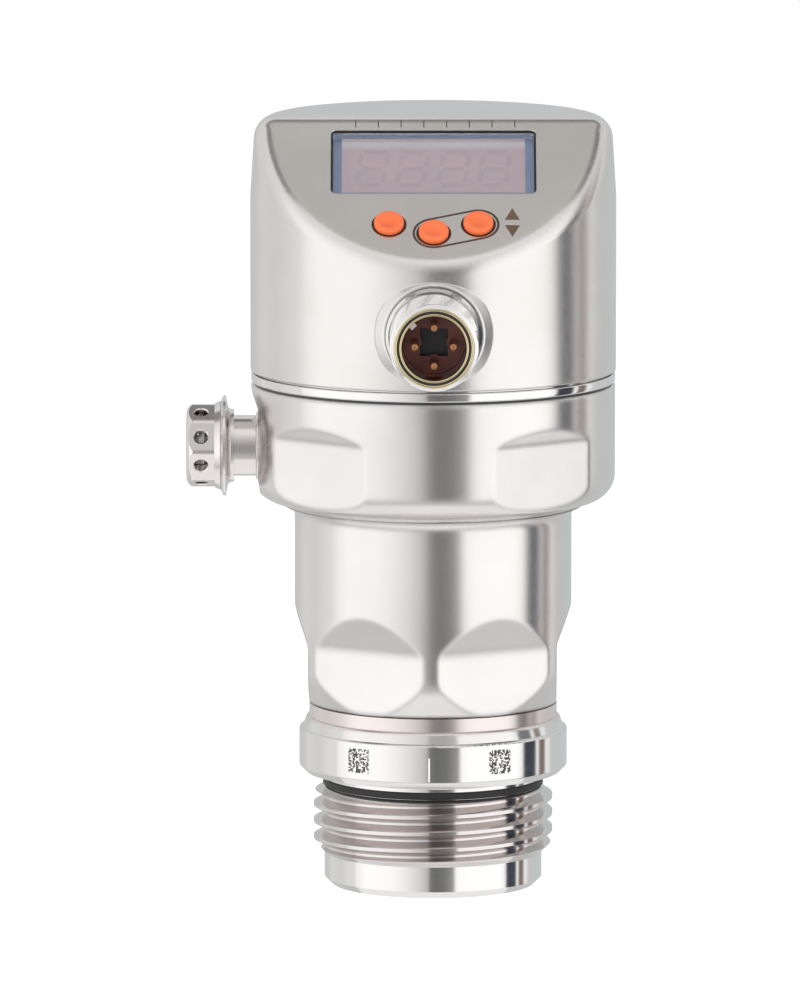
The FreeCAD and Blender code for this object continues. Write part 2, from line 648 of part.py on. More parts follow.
def skirt():
    """Ring under the head with an O-ring groove, a snap ring groove and the stop lug."""
    snap_top = BASE_TOP - SNAP_DEPTH
    tube = ring(SKIRT_R, SKIRT_BORE_R, SKIRT_Z, HEAD_FLOOR_Z)
    seal_z = BASE_TOP - ORING_DEPTH
    seal_floor = UPPER_BORE_R - 2 * ORING_R - RUNNING / 3
    half = ORING_R + SLIP
    tube = tube.cut(ring(2 * SKIRT_R, seal_floor, seal_z - half, seal_z + half))
    play = SNAP_H + 2 * GAP
    groove_r = SKIRT_R - SNAP_IN_SKIRT - RUNNING
    tube = tube.cut(ring(2 * SKIRT_R, groove_r, snap_top - play, snap_top + GAP))
    lug = ring(SKIRT_R, SKIRT_BORE_R, LEDGE_Z + RUNNING, SKIRT_Z)
    reach = 2 * SKIRT_R
    half_width = reach * math.tan(math.radians(STOP_HALF_ANGLE))
    wedge = [(0, 0), (half_width, -reach), (-half_width, -reach)]
    return tube.fuse(lug.common(plate(wedge, SKIRT_Z - LEDGE_Z, LEDGE_Z)))


# ---------------------------------------------------------------- display and buttons
def button_places():
    """Centre of each button on the panel: across, and down from the upper edge."""
    return [(-BUTTON_X, BUTTON_OUTER_L), (0.0, BUTTON_MIDDLE_L), (BUTTON_X, BUTTON_OUTER_L)]


def screw_places():
    x = APERTURE_W / 2 - FRAME_POST_INSET
    low = -WINDOW_TOP - WINDOW_L - FRAME_POST_R - FRAME_POST_SPACE
    return [(-x, low), (x, low)]


def aperture(thickness, z, margin=0.0):
    half = APERTURE_W / 2 - margin
    top = -WINDOW_TOP - APERTURE_TOP - margin
    bottom = -WINDOW_TOP - WINDOW_L + APERTURE_BOTTOM + margin
    return plate(rectangle(-half, half, bottom, top, APERTURE_CORNER), thickness, z)


def seven_segments(x, y):
    """Strokes of one digit of the display, as shallow solids to be cut from its face."""
    half_w = DIGIT_W / 2 - DIGIT_STROKE / 2
    half_l = DIGIT_L / 2 - DIGIT_STROKE / 2
    reach = DIGIT_STROKE / 2
    strokes = []
    for level in (-half_l, 0.0, half_l):
        strokes.append(block(x - half_w + reach, x + half_w - reach, y + level - reach,
                             y + level + reach, -DIGIT_DEPTH, 0))
    for side in (-half_w, half_w):
        for middle in (-half_l / 2, half_l / 2):
            strokes.append(block(x + side - reach, x + side + reach,
                                 y + middle - half_l / 2 + reach + DIGIT_SPLIT,
                                 y + middle + half_l / 2 - reach - DIGIT_SPLIT, -DIGIT_DEPTH, 0))
    return strokes


def make_display():
    low = -WINDOW_TOP - WINDOW_L
    half_w = WINDOW_W / 2 - SLIP
    glass = rectangle(-half_w, half_w, low + SLIP, -WINDOW_TOP - SLIP, WINDOW_CORNER)
    glass_back = -WINDOW_SET - WINDOW_T
    add("display_window", placed(plate(glass, WINDOW_T, glass_back), ON_PANEL))
    seal = plate(glass, WINDOW_SEAL_T, glass_back - WINDOW_SEAL_T)
    seal = seal.cut(aperture(WINDOW_T, glass_back - WINDOW_T))
    add("window_gasket", placed(seal, ON_PANEL))

    half_f = WINDOW_W / 2 + FRAME_FLANGE
    flange_low = low - 2 * (FRAME_POST_R + FRAME_POST_SPACE)
    flange = rectangle(-half_f, half_f, flange_low, -WINDOW_TOP + FRAME_FLANGE / 2, FRAME_CORNER)
    frame = plate(flange, FRAME_T, -FRAME_BACK)
    for x, down in button_places():
        clear = BUTTON_R + BUTTON_FLANGE + RUNNING
        frame = frame.cut(disc(clear, -FRAME_BACK, -PANEL_WALL, x, -down))
    frame = frame.cut(aperture(2 * FRAME_T, -FRAME_BACK - FRAME_T / 2))
    for x, y in screw_places():
        frame = frame.fuse(disc(FRAME_POST_R, -BOARD_FACE, -FRAME_BACK, x, y))
        frame = frame.cut(disc(SCREW_R, -BOARD_FACE, -PANEL_WALL, x, y))
    add("display_frame", placed(frame, ON_PANEL))

    module = aperture(DISPLAY_T + FRAME_T / 2 - SLIP, -BOARD_FACE, SLIP)
    face = -BOARD_FACE + DISPLAY_T + FRAME_T / 2 - SLIP
    middle = -WINDOW_TOP - (APERTURE_TOP + WINDOW_L - APERTURE_BOTTOM) / 2
    for k in range(DIGIT_COUNT):
        x = (k - (DIGIT_COUNT - 1) / 2) * DIGIT_PITCH
        for stroke in seven_segments(x, middle):
            stroke.translate(V(0, 0, face))
            module = module.cut(stroke)
    add("display_module", placed(module, ON_PANEL))

    half_b = DISPLAY_BOARD_W / 2
    board_low = -WINDOW_TOP - DISPLAY_BOARD_L
    board_top = -WINDOW_TOP + DISPLAY_BOARD_TOP
    board = plate(rectangle(-half_b, half_b, board_low, board_top, DISPLAY_BOARD_CORNER),
                  DISPLAY_BOARD_T, -BOARD_FACE - DISPLAY_BOARD_T)
    screws = []
    for x, y in screw_places():
        back = -BOARD_FACE - DISPLAY_BOARD_T
        board = board.cut(disc(SCREW_R + SLIP, back, -BOARD_FACE, x, y))
        shank = disc(SCREW_R, back, -FRAME_BACK, x, y)
        head = disc(SCREW_HEAD_R, back - SCREW_HEAD_H, back, x, y)
        drive = disc(SCREW_HEAD_R / 2, back - SCREW_HEAD_H, back - SCREW_HEAD_H / 2, x, y)
        screws.append(placed(shank.fuse(head).cut(drive), ON_PANEL))
    add("display_board", placed(board, ON_PANEL))
    PARTS["display_screws"] = Part.makeCompound(screws)


def button_cap():
    """Button with a dished top, a flange that holds it behind the panel, and a stem."""
    flange_r = BUTTON_R + BUTTON_FLANGE
    flange_top = -PANEL_WALL - GAP
    stem_end = -BOARD_FACE + SWITCH_T + SWITCH_DOME_T + BUTTON_TRAVEL + GAP
    cap = turned([(0, stem_end), (BUTTON_STEM_R, stem_end),
                  (BUTTON_STEM_R, flange_top - BUTTON_FLANGE_T), (flange_r, flange_top - BUTTON_FLANGE_T),
                  (flange_r, flange_top), (BUTTON_R, flange_top),
                  (BUTTON_R, BUTTON_PROUD, BUTTON_EDGE),
                  (0, BUTTON_PROUD)])
    ball_r = (BUTTON_DISH_R ** 2 + BUTTON_DISH ** 2) / (2 * BUTTON_DISH)
    ball = Part.makeSphere(ball_r, V(0, 0, BUTTON_PROUD - BUTTON_DISH + ball_r))
    return cap.cut(ball)


def tact_switch():
    half = SWITCH_W / 2
    body = plate(rectangle(-half, half, -half, half, SWITCH_CORNER), SWITCH_T, -BOARD_FACE)
    base = -BOARD_FACE + SWITCH_T
    foot = base - SWITCH_DOME_SINK
    top = base + SWITCH_DOME_T
    return body.fuse(turned([(0, foot), (SWITCH_DOME_R, foot), (SWITCH_DOME_R, base),
                             (SWITCH_DOME_TOP_R, top), (0, top)]))


def make_buttons():
    for number, (x, down) in enumerate(button_places(), 1):
        for name, shape in (("button", button_cap()), ("tact_switch", tact_switch())):
            shape.translate(V(x, -down, 0))
            add("%s_%d" % (name, number), placed(shape, ON_PANEL))


# ---------------------------------------------------------------- connector
def connector_shell():
    """Turned shell: thread M12 (as its outer cylinder), flange on the boss, stem inside."""
    seat = BOSS_FACE + SHELL_SEAL_T
    flange_out = seat + SHELL_FLANGE_T
    tip_chamfer = SHELL_THREAD_R - SHELL_TIP_R
    body = turned([(0, SHELL_TAIL), (SHELL_STEM_R, SHELL_TAIL), (SHELL_STEM_R, seat),
                   (SHELL_FLANGE_R, seat), (SHELL_FLANGE_R, flange_out, SHELL_FLANGE_CHAMFER),
                   (SHELL_RELIEF_R, flange_out), (SHELL_RELIEF_R, flange_out + SHELL_RELIEF_L),
                   (SHELL_THREAD_R, flange_out + SHELL_RELIEF_L),
                   (SHELL_THREAD_R, SHELL_TIP - tip_chamfer), (SHELL_TIP_R, SHELL_TIP), (0, SHELL_TIP)])
    shoulder = SHELL_TAIL + SHELL_SHOULDER
    bore = turned([(0, SHELL_TAIL), (SHELL_TAIL_BORE_R, SHELL_TAIL), (SHELL_TAIL_BORE_R, shoulder),
                   (SHELL_BORE_R, shoulder), (SHELL_BORE_R, SHELL_TIP - SHELL_BORE_CHAMFER),
                   (SHELL_BORE_R + SHELL_BORE_CHAMFER, SHELL_TIP), (0, SHELL_TIP)])
    return body.cut(bore)


def contact_carrier():
    """Moulded insert with the coding key, and a recess between the collars of its pin holes."""
    shoulder = SHELL_TAIL + SHELL_SHOULDER
    fit_r = SHELL_BORE_R - SLIP
    body = turned([(0, SHELL_TAIL), (SHELL_TAIL_BORE_R - SLIP, SHELL_TAIL),
                   (SHELL_TAIL_BORE_R - SLIP, shoulder), (fit_r, shoulder),
                   (fit_r, CARRIER_FACE), (0, CARRIER_FACE)])
    key = block(fit_r - KEY_H, fit_r, -KEY_W / 2, KEY_W / 2, shoulder, PIN_TIP)
    key = key.common(disc(fit_r, shoulder, PIN_TIP))
    half = CARRIER_RECESS_W / 2
    recess = block(-half, half, -half, half, CARRIER_FACE - CARRIER_RECESS_D, CARRIER_FACE)
    for x, y in pin_places():
        recess = recess.cut(disc(PIN_BOSS_R, CARRIER_FACE - CARRIER_RECESS_D, CARRIER_FACE, x, y))
    body = body.cut(recess).fuse(spun(key, KEY_ANGLE))
    for x, y in pin_places():
        body = body.cut(disc(PIN_R, SHELL_TAIL, CARRIER_FACE, x, y))
    return body


def pin_places():
    angles = [math.radians(90 * k) for k in range(4)]
    return [(PIN_CIRCLE_R * math.cos(a), PIN_CIRCLE_R * math.sin(a)) for a in angles]


def connector_nut():
    """Slotted ring nut that holds the shell from inside."""
    nut = ring(NUT_R, SHELL_STEM_R + SLIP, PAD_FACE - NUT_T, PAD_FACE)
    for angle in (0, 90):
        slot = block(-NUT_R, NUT_R, -NUT_SLOT_W / 2, NUT_SLOT_W / 2, PAD_FACE - NUT_T, PAD_FACE - NUT_T / 2)
        nut = nut.cut(spun(slot, angle))
    return nut


def make_connector():
    add("connector_shell", placed(connector_shell(), ON_CONNECTOR))
    seal = ring(SHELL_SEAL_R, SHELL_STEM_R + SLIP, BOSS_FACE, BOSS_FACE + SHELL_SEAL_T)
    add("connector_seal", placed(seal, ON_CONNECTOR))
    add("connector_nut", placed(connector_nut(), ON_CONNECTOR))
    add("contact_carrier", placed(contact_carrier(), ON_CONNECTOR))
    wires = []
    for number, (x, y) in enumerate(pin_places(), 1):
        pin = turned([(0, PIN_TAIL), (PIN_R, PIN_TAIL), (PIN_R, PIN_TIP, PIN_END_ROUND), (0, PIN_TIP)])
        pin.translate(V(x, y, 0))
        add("contact_pin_%d" % number, placed(pin, ON_CONNECTOR))
        wires.append(placed(disc(WIRE_R, -MAIN_BOARD_Y, PIN_TAIL, x, y), ON_CONNECTOR))
    PARTS["connector_wires"] = Part.makeCompound(wires)


# ---------------------------------------------------------------- boards in the head
def board_carrier():
    """Moulded frame on the head's floor: an open ring with two slotted posts on short arms."""
    outer = CAVITY_R - RUNNING
    foot = ring(outer, SKIRT_BORE_R + RUNNING, HEAD_FLOOR_Z, HEAD_FLOOR_Z + CARRIER_T)
    reach = 2 * HEAD_R
    half_width = reach * math.tan(math.radians(CARRIER_OPENING))
    foot = foot.cut(plate([(0, 0), (half_width, -reach), (-half_width, -reach)], CARRIER_T, HEAD_FLOOR_Z))
    front_y = MAIN_BOARD_Y + MAIN_BOARD_T / 2 - POST_D / 2
    bottom = HEAD_FLOOR_Z + CARRIER_T
    top = bottom + POST_L
    body = foot
    inside = disc(outer, HEAD_FLOOR_Z, top)
    for side in (-1, 1):
        x = side * MAIN_BOARD_W / 2
        post = block(x - POST_W / 2, x + POST_W / 2, front_y, front_y + POST_D, HEAD_FLOOR_Z, top)
        arm_from, arm_to = sorted((x, side * outer))
        arm = block(arm_from, arm_to, front_y, front_y + POST_D, HEAD_FLOOR_Z, bottom)
        body = body.fuse(post.fuse(arm).common(inside))
    half = MAIN_BOARD_W / 2 + SLIP
    return body.cut(block(-half, half, MAIN_BOARD_Y - SLIP, MAIN_BOARD_Y + MAIN_BOARD_T + SLIP,
                          bottom, top))


def make_boards():
    add("board_carrier", board_carrier())
    bottom = HEAD_FLOOR_Z + CARRIER_T
    half = MAIN_BOARD_W / 2
    add("main_board", block(-half, half, MAIN_BOARD_Y, MAIN_BOARD_Y + MAIN_BOARD_T, bottom,
                            bottom + MAIN_BOARD_L))
    half_s = LEAD_SOCKET_W / 2
    add("lead_socket", block(-half_s, half_s, -half_s, MAIN_BOARD_Y, SOCKET_Z, SOCKET_Z + LEAD_SOCKET_H))


# ---------------------------------------------------------------- vent
def vent_body():
    """Stub welded into the base, with the flange and the nose that carries the cap."""
    weld_end = VENT_FACE_R + WELD_RING_L
    groove_r = VENT_NOSE_R - 2 * VENT_SEAL_R
    groove_end = FLANGE_OUT + 2 * VENT_SEAL_R
    return turned([(VENT_BORE_R, UPPER_BORE_R), (STUB_R, UPPER_BORE_R), (STUB_R, VENT_FACE_R),
                   (WELD_RING_R, VENT_FACE_R), (WELD_RING_R, weld_end, WELD_RING_ROUND),
                   (STUB_R, weld_end), (STUB_R, STUB_END), (FLANGE_NECK_R, STUB_END),
                   (FLANGE_NECK_R, STUB_END + FLANGE_NECK_L, FLANGE_CURVE),
                   (FLANGE_R, FLANGE_PEAK - FLANGE_RIM / 2), (FLANGE_R, FLANGE_PEAK + FLANGE_RIM / 2),
                   (FLANGE_SEAT_R, FLANGE_OUT), (groove_r, FLANGE_OUT), (groove_r, groove_end),
                   (VENT_NOSE_R, groove_end), (VENT_NOSE_R, VENT_NOSE_END),
                   (VENT_BORE_R, VENT_NOSE_END)])


def cap_outline():
    """Eight-sided body with a rounded outer end and a round collar next to the flange."""
    flats = []
    for k in range(CAP_HOLES):
        angle = math.radians(360.0 / CAP_HOLES * (k + 0.5))
        flats.append((CAP_R * math.cos(angle), CAP_R * math.sin(angle), CAP_CORNER))
    dome = turned([(0, CAP_START), (CAP_R, CAP_START), (CAP_R, CAP_END, CAP_ROUND), (0, CAP_END)])
    collar_end = CAP_START + CAP_COLLAR_L
    collar = turned([(0, CAP_START), (CAP_COLLAR_R, CAP_START), (CAP_R, collar_end), (0, collar_end)])
    return plate(flats, CAP_L, CAP_START).common(dome).fuse(collar)


def cap_hole():
    """Tool for one vent hole along X, with its countersink at the flat."""
    flat_x = CAP_R * math.cos(math.pi / CAP_HOLES)
    hole = Part.makeCylinder(CAP_HOLE_R, CAP_R, V(0, 0, cap_hole_z()), V(1, 0, 0))
    sink = Part.makeCone(CAP_HOLE_R, CAP_HOLE_R + 2 * CAP_HOLE_RIM, 2 * CAP_HOLE_RIM,
                         V(flat_x - CAP_HOLE_RIM, 0, cap_hole_z()), V(1, 0, 0))
    return hole.fuse(sink)


def vent_cap():
    """Octagonal screw cap, hollow, with one hole through each flat."""
    body = cap_outline().cut(disc(VENT_NOSE_R + RUNNING, CAP_START, CAP_END - CAP_WALL))
    for k in range(CAP_HOLES):
        body = body.cut(spun(cap_hole(), 360.0 / CAP_HOLES * k))
    return spun(body, cap_turn())


def cap_hole_z():
    return (CAP_START + CAP_END) / 2 + CAP_HOLE_SHIFT


def cap_turn():
    """Angle about the vent's axis that clocks the cap's flats as assembled."""
    return -90.0 + CAP_CLOCKING


def make_vent():
    add("vent_body", placed(vent_body(), ON_VENT))
    seal = Part.makeTorus(VENT_NOSE_R - VENT_SEAL_R, VENT_SEAL_R, V(0, 0, FLANGE_OUT + VENT_SEAL_R))
    clip_z = VENT_NOSE_END + GAP + MEMBRANE_T
    membrane = disc(MEMBRANE_R, VENT_NOSE_END + GAP, clip_z)
    clip_r = VENT_NOSE_R + RUNNING - CLIP_FIT
    clip = ring(clip_r, clip_r - CLIP_WALL, clip_z, clip_z + CLIP_T)
    add("vent_seal", placed(seal, ON_VENT))
    add("vent_membrane", placed(membrane, ON_VENT))
    add("membrane_clip", placed(clip, ON_VENT))
    add("vent_cap", placed(vent_cap(), ON_VENT))


# ---------------------------------------------------------------- build and write
make_process_side()
make_turning_joint()
add("head_housing", head_housing())
make_display()
make_buttons()
make_connector()
make_boards()
make_vent()

os.makedirs("parts", exist_ok=True)
for part_name, part_shape in PARTS.items():
    part_shape.exportStep("parts/%s.step" % part_name)
    print("%-18s solids %d valid %s volume %9.2f" % (
        part_name, len(part_shape.Solids), part_shape.isValid(), part_shape.Volume))
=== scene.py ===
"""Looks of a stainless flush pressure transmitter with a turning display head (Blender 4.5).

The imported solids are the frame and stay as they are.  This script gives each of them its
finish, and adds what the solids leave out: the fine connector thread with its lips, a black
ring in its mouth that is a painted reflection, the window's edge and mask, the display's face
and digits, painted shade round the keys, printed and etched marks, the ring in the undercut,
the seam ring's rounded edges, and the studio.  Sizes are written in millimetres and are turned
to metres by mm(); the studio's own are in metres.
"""
import math
import random

import bmesh
import bpy
from mathutils import Matrix, Vector

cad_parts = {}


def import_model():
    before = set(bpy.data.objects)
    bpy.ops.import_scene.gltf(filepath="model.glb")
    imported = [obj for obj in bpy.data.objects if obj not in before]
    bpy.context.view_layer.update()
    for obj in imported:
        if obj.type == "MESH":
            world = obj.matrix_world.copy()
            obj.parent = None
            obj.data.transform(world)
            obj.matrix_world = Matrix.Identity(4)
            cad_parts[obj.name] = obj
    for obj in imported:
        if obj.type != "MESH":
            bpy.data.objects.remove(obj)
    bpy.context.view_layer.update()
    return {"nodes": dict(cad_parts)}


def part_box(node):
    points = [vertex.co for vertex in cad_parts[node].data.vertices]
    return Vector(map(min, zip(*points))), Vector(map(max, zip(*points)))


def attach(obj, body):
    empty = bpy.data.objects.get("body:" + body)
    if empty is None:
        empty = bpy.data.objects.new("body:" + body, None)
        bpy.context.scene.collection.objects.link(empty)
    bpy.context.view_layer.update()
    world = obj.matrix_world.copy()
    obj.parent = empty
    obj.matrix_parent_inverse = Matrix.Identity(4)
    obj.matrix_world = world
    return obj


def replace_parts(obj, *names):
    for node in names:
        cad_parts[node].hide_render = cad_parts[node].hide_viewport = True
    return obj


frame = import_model()
nodes = frame["nodes"]


def mm(value):
    return value / 1000.0


# ---------------------------------------------------------------- sizes, in millimetres
SKIN = 0.01                 # keeps two faces from lying in one plane
PANEL_SLOPE = 38.5          # degrees below horizontal
PANEL_EDGE = 3.0            # the panel's upper edge lies this far in front of the axis
WINDOW_W = 28.2
WINDOW_L = 12.4
WINDOW_TOP = 2.4            # down the panel from its upper edge
WINDOW_SET = 0.35           # depth of the glass below the panel
WINDOW_T = 1.5
WINDOW_LINE = 0.30          # width of the dark seal that shows round the glass
WINDOW_LINE_T = 0.06        # its height above the glass
MASK_SIDE = 1.45            # width of the blue mask behind the glass
MASK_TOP = 0.45
MASK_FOOT = 1.35
MASK_T = 0.15
MASK_GAP = 0.05             # between the mask and the window's edge
FACE_SET = 0.06             # depth of the display's face below the glass
FACE_GAP = 0.01             # between the display's face and the mask
HIGHLIGHT_DOWN = (4.5, 3.0)      # the display's painted highlight, a pale band, from and to, down the panel
DIGITS = 4
DIGIT_W = 3.6
DIGIT_L = 6.4
DIGIT_PITCH = 5.6
DIGIT_STROKE = 0.75
DIGIT_LEAN = 0.12           # sideways shift of a digit's strokes per height
DIGIT_DROP = 0.6            # the digits' middle below the middle of the display
DIGIT_GAP = 0.15            # from a digit's level strokes to its upright ones
MARK_T = 0.012              # height of print and etching above the steel

TICKS = 8
TICK_PITCH = 3.13
TICK_SHIFT = 0.25
TICK_TOP = 0.5
TICK_L = 1.35
TICK_W = 0.14

KEY_OUTLINE_R = 2.9
KEY_OUTLINE_W = 0.34
KEY_SHADE_RING = (2.1, 2.36)       # inner and outer radius of the painted shade ring round each key, where its gap lies in shadow
KEYS = ((0.0, 22.5), (6.1, 20.8))     # the two keys inside the printed outline
OUTLINE_STEPS = 24          # facets of each half round of the printed outline
SHADE_RING_STEPS = 48              # facets of the painted shade ring round a key
LEFT_KEY = (-6.1, 20.8)
ARROW_X = 10.75
ARROW_W = 2.05
ARROWS = ((19.9, 17.65), (20.95, 23.2))  # base and tip of each arrow, down the panel

THREAD_R = 6.0              # connector thread M12 x 1
THREAD_ROOT_R = 5.39
THREAD_PITCH = 1.0
THREAD_CREST = 0.0625       # half the flat crest, as a share of the pitch
THREAD_FLANK = 0.3125       # one flank, as a share of the pitch
THREAD_RUN_IN = 0.4         # length over which the thread rises to its depth
THREAD_ROW = 0.0833         # height of one row of faces
SHELL_PROFILE = ((18.4, 5.0), (25.95, 5.0), (25.95, 6.55), (26.8, 6.55), (27.15, 6.2),
                 (27.15, 5.4), (28.35, 5.4))   # distance from the device's axis, radius
THREAD_START = 28.35
THREAD_END = 39.75
SHELL_TIP = 40.5
SHELL_SIDES = 96
LIP_H = 0.2                 # height of the rounded outer lip
INNER_LIP_H = 0.13
LIP_STEPS = 8
SHELL_TIP_R = 5.45
SHELL_BORE_R = 4.35
SHELL_CHAMFER = (0.3, 0.05)  # depth and width of the bore's chamfer
SHELL_STEP = 21.0           # the bore narrows here, from the device's axis
SHELL_BACK_R = 3.8
MOUTH_DARK_RING = (4.72, 5.02)   # inner and outer radius of the black ring in the mouth, a painted dark reflection
MOUTH_DARK_RING_Z = (0.45, 0.12)  # its back and its front below the tip
MOUTH_GROOVE = 0.5          # depth of its groove
CARRIER_FACE = 33.0
KEY_TIP = 38.7              # the coding key's end, from the device's axis

COLLAR_R = 18.6
CODE_SIZE = 3.35
CODE_CELLS = 18
CODE_X = (-10.98, 9.62)     # along the collar's round face
CODE_Z = 19.43
INDEX_X = -0.6
INDEX_Z = 18.6
INDEX_W = 0.22
INDEX_H = 3.3
UNDERCUT_SEAL = ((13.9, 15.12), (13.9, 15.2), (14.05, 15.32), (14.75, 15.32), (14.9, 15.2),
                 (14.9, 15.12))   # height and radius of the ring behind the thread
UNDERCUT_SIDES = 128
SEAM_BORE_R = 22.9
SEAM_EDGE = 0.25            # radius of the seam ring's two rounded edges
SEAM_EDGE_STEPS = 5
SEAM_SIDES = 256

# Zones of another colour: from, to and soft edge, along one axis.
WELD_Z = 25.55              # height of the weld line, at the top of the fitting's band
WELD_ZONE = (WELD_Z - 2.3, WELD_Z + 1.0, 0.25)
WELD_LINE_ZONE = (WELD_Z - 0.1, WELD_Z + 1.0, 0.02)
THREAD_ZONE = (4.6, 13.9, 0.3)
# Painted highlight on the coding key's end, and painted shade deep in the carrier's recess.
KEY_GLINT_ZONE = (-KEY_TIP - 0.6, -KEY_TIP + 0.3, 0.1)
RECESS_SHADE_ZONE = (-CARRIER_FACE + 0.15, -20.0, 0.1)
# Soft edge of the display's painted highlight band.
HIGHLIGHT_EDGE = 0.35

# ---------------------------------------------------------------- placements
head_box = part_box("head_housing")
shell_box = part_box("connector_shell")
CONNECTOR_Z = (shell_box[0].z + shell_box[1].z) / 2
ON_PANEL = (Matrix.Translation((0, -mm(PANEL_EDGE), head_box[1].z))
            @ Matrix.Rotation(math.radians(PANEL_SLOPE), 4, "X"))
DISPLAY_HIGHLIGHT = tuple(1000 * head_box[1].z - down * math.sin(math.radians(PANEL_SLOPE))
                     - (WINDOW_SET + WINDOW_T + MASK_T) * math.cos(math.radians(PANEL_SLOPE))
                     for down in HIGHLIGHT_DOWN)     # heights of the display's painted highlight, a pale band
ON_CONNECTOR = Matrix.Translation((0, 0, CONNECTOR_Z)) @ Matrix.Rotation(math.radians(90), 4, "X")


# ---------------------------------------------------------------- materials
def linear(code):
    """Linear colour of an sRGB hex code."""
    channels = [int(code[i:i + 2], 16) / 255 for i in (1, 3, 5)]
    return tuple(c / 12.92 if c <= 0.04045 else ((c + 0.055) / 1.055) ** 2.4
                 for c in channels) + (1.0,)


def add_node(tree, kind, inputs=None, **settings):
    """Adds one shader node; an input is a value or the socket that feeds it."""
    made = tree.nodes.new(kind)
    for name, value in settings.items():
        setattr(made, name, value)
    for name, value in (inputs or {}).items():
        if isinstance(value, bpy.types.NodeSocket):
            tree.links.new(value, made.inputs[name])
        else:
            made.inputs[name].default_value = value
    return made


def new_material(name, colour, metallic, roughness, **sockets):
    """A Principled material; returns it with its node tree and its shader."""
    material = bpy.data.materials.new(name)
    material.use_nodes = True
    tree = material.node_tree
    shader = tree.nodes["Principled BSDF"]
    shader.inputs["Base Color"].default_value = linear(colour)
    shader.inputs["Metallic"].default_value = metallic
    shader.inputs["Roughness"].default_value = roughness
    for socket, value in sockets.items():
        shader.inputs[socket.replace("_", " ")].default_value = value
    return material, tree, shader


def stretched(tree, sx, sy, sz):
    """Position on the piece, in metres, stretched per axis."""
    place = add_node(tree, "ShaderNodeTexCoord")
    return add_node(tree, "ShaderNodeMapping", {"Vector": place.outputs["Object"],
                                               "Scale": (sx, sy, sz)}).outputs["Vector"]


def per_mm(size):
    """Texture scale at which one cell is this many millimetres."""
    return 1000.0 / size


def satin_steel(name, colour, dark, roughness, grain, edge):
    """Stainless steel, blasted to a satin skin: soft reflections, soft edges, an even grain.

    The real grain is too fine to show, so it is drawn coarser.
    """
    material, tree, shader = new_material(name, colour, 1.0, roughness)
    place = stretched(tree, 1, 1, 1)
    cloud = add_node(tree, "ShaderNodeTexNoise", {"Vector": place, "Scale": per_mm(14.0),
                                                  "Detail": 3.0}).outputs["Fac"]
    fine = add_node(tree, "ShaderNodeTexNoise", {"Vector": place, "Scale": per_mm(grain),
                                                 "Detail": 2.0}).outputs["Fac"]
    tint = add_node(tree, "ShaderNodeMapRange", {"Value": cloud, "From Min": 0.3,
                                                 "From Max": 0.7}).outputs["Result"]
    skin = add_node(tree, "ShaderNodeMix", {"Factor": tint, "A": linear(dark), "B": linear(colour)},
                    data_type="RGBA").outputs["Result"]
    tree.links.new(skin, shader.inputs["Base Color"])
    rough = add_node(tree, "ShaderNodeMapRange", {"Value": fine, "From Min": 0.3, "From Max": 0.7,
                                                  "To Min": roughness - 0.03,
                                                  "To Max": roughness + 0.04}).outputs["Result"]
    tree.links.new(rough, shader.inputs["Roughness"])
    soft = add_node(tree, "ShaderNodeBevel", {"Radius": mm(edge)}, samples=6).outputs["Normal"]
    relief = add_node(tree, "ShaderNodeBump", {"Height": fine, "Strength": 0.10,
                                               "Distance": mm(0.03),
                                               "Normal": soft}).outputs["Normal"]
    tree.links.new(relief, shader.inputs["Normal"])
    return material


def turned_steel(name, colour, roughness, turn_mark, strength):
    """Stainless steel, turned and electropolished: sharp reflections, fine rings round the axis.

    The real turning marks are too fine to show, so they are drawn coarser.
    """
    material, tree, shader = new_material(name, colour, 1.0, roughness)
    place = stretched(tree, 12, 12, per_mm(turn_mark))
    rings = add_node(tree, "ShaderNodeTexNoise", {"Vector": place, "Scale": 1.0,
                                                  "Detail": 2.0}).outputs["Fac"]
    relief = add_node(tree, "ShaderNodeBump", {"Height": rings, "Strength": strength,
                                               "Distance": mm(0.01)}).outputs["Normal"]
    tree.links.new(relief, shader.inputs["Normal"])
    rough = add_node(tree, "ShaderNodeMapRange", {"Value": rings, "From Min": 0.3, "From Max": 0.7,
                                                  "To Min": roughness - 0.03,
                                                  "To Max": roughness + 0.05}).outputs["Result"]
    tree.links.new(rough, shader.inputs["Roughness"])
    return material


def zone(tree, axis, low, high, soft):
    """One between two positions along an axis, in millimetres, nought beyond, with soft ends."""
    position = stretched(tree, 1, 1, 1)
    place = add_node(tree, "ShaderNodeSeparateXYZ", {"Vector": position}).outputs[axis]
    rise = add_node(tree, "ShaderNodeMapRange", {"Value": place, "From Min": mm(low - soft),
                                                 "From Max": mm(low + soft)}).outputs["Result"]
    fall = add_node(tree, "ShaderNodeMapRange", {"Value": place, "From Min": mm(high - soft),
                                                 "From Max": mm(high + soft), "To Min": 1.0,
                                                 "To Max": 0.0}).outputs["Result"]
    return add_node(tree, "ShaderNodeMath", {0: rise, 1: fall}, operation="MULTIPLY").outputs[0]


def tinted(material, colour, *where):
    """Another colour in one zone of a material."""
    tree = material.node_tree
    base = tree.nodes["Principled BSDF"].inputs["Base Color"]
    share = zone(tree, *where)
    under = base.links[0].from_socket if base.is_linked else tuple(base.default_value)
    over = add_node(tree, "ShaderNodeMix", {"Factor": share, "A": under, "B": linear(colour)},
                    data_type="RGBA").outputs["Result"]
    tree.links.new(over, base)


def brushed(material, roughness, *where):
    """Another roughness in one zone of a material."""
    tree = material.node_tree
    rough = tree.nodes["Principled BSDF"].inputs["Roughness"]
    over = add_node(tree, "ShaderNodeMix", {"Factor": zone(tree, *where),
                                            "A": rough.links[0].from_socket,
                                            "B": roughness}, data_type="FLOAT").outputs["Result"]
    tree.links.new(over, rough)


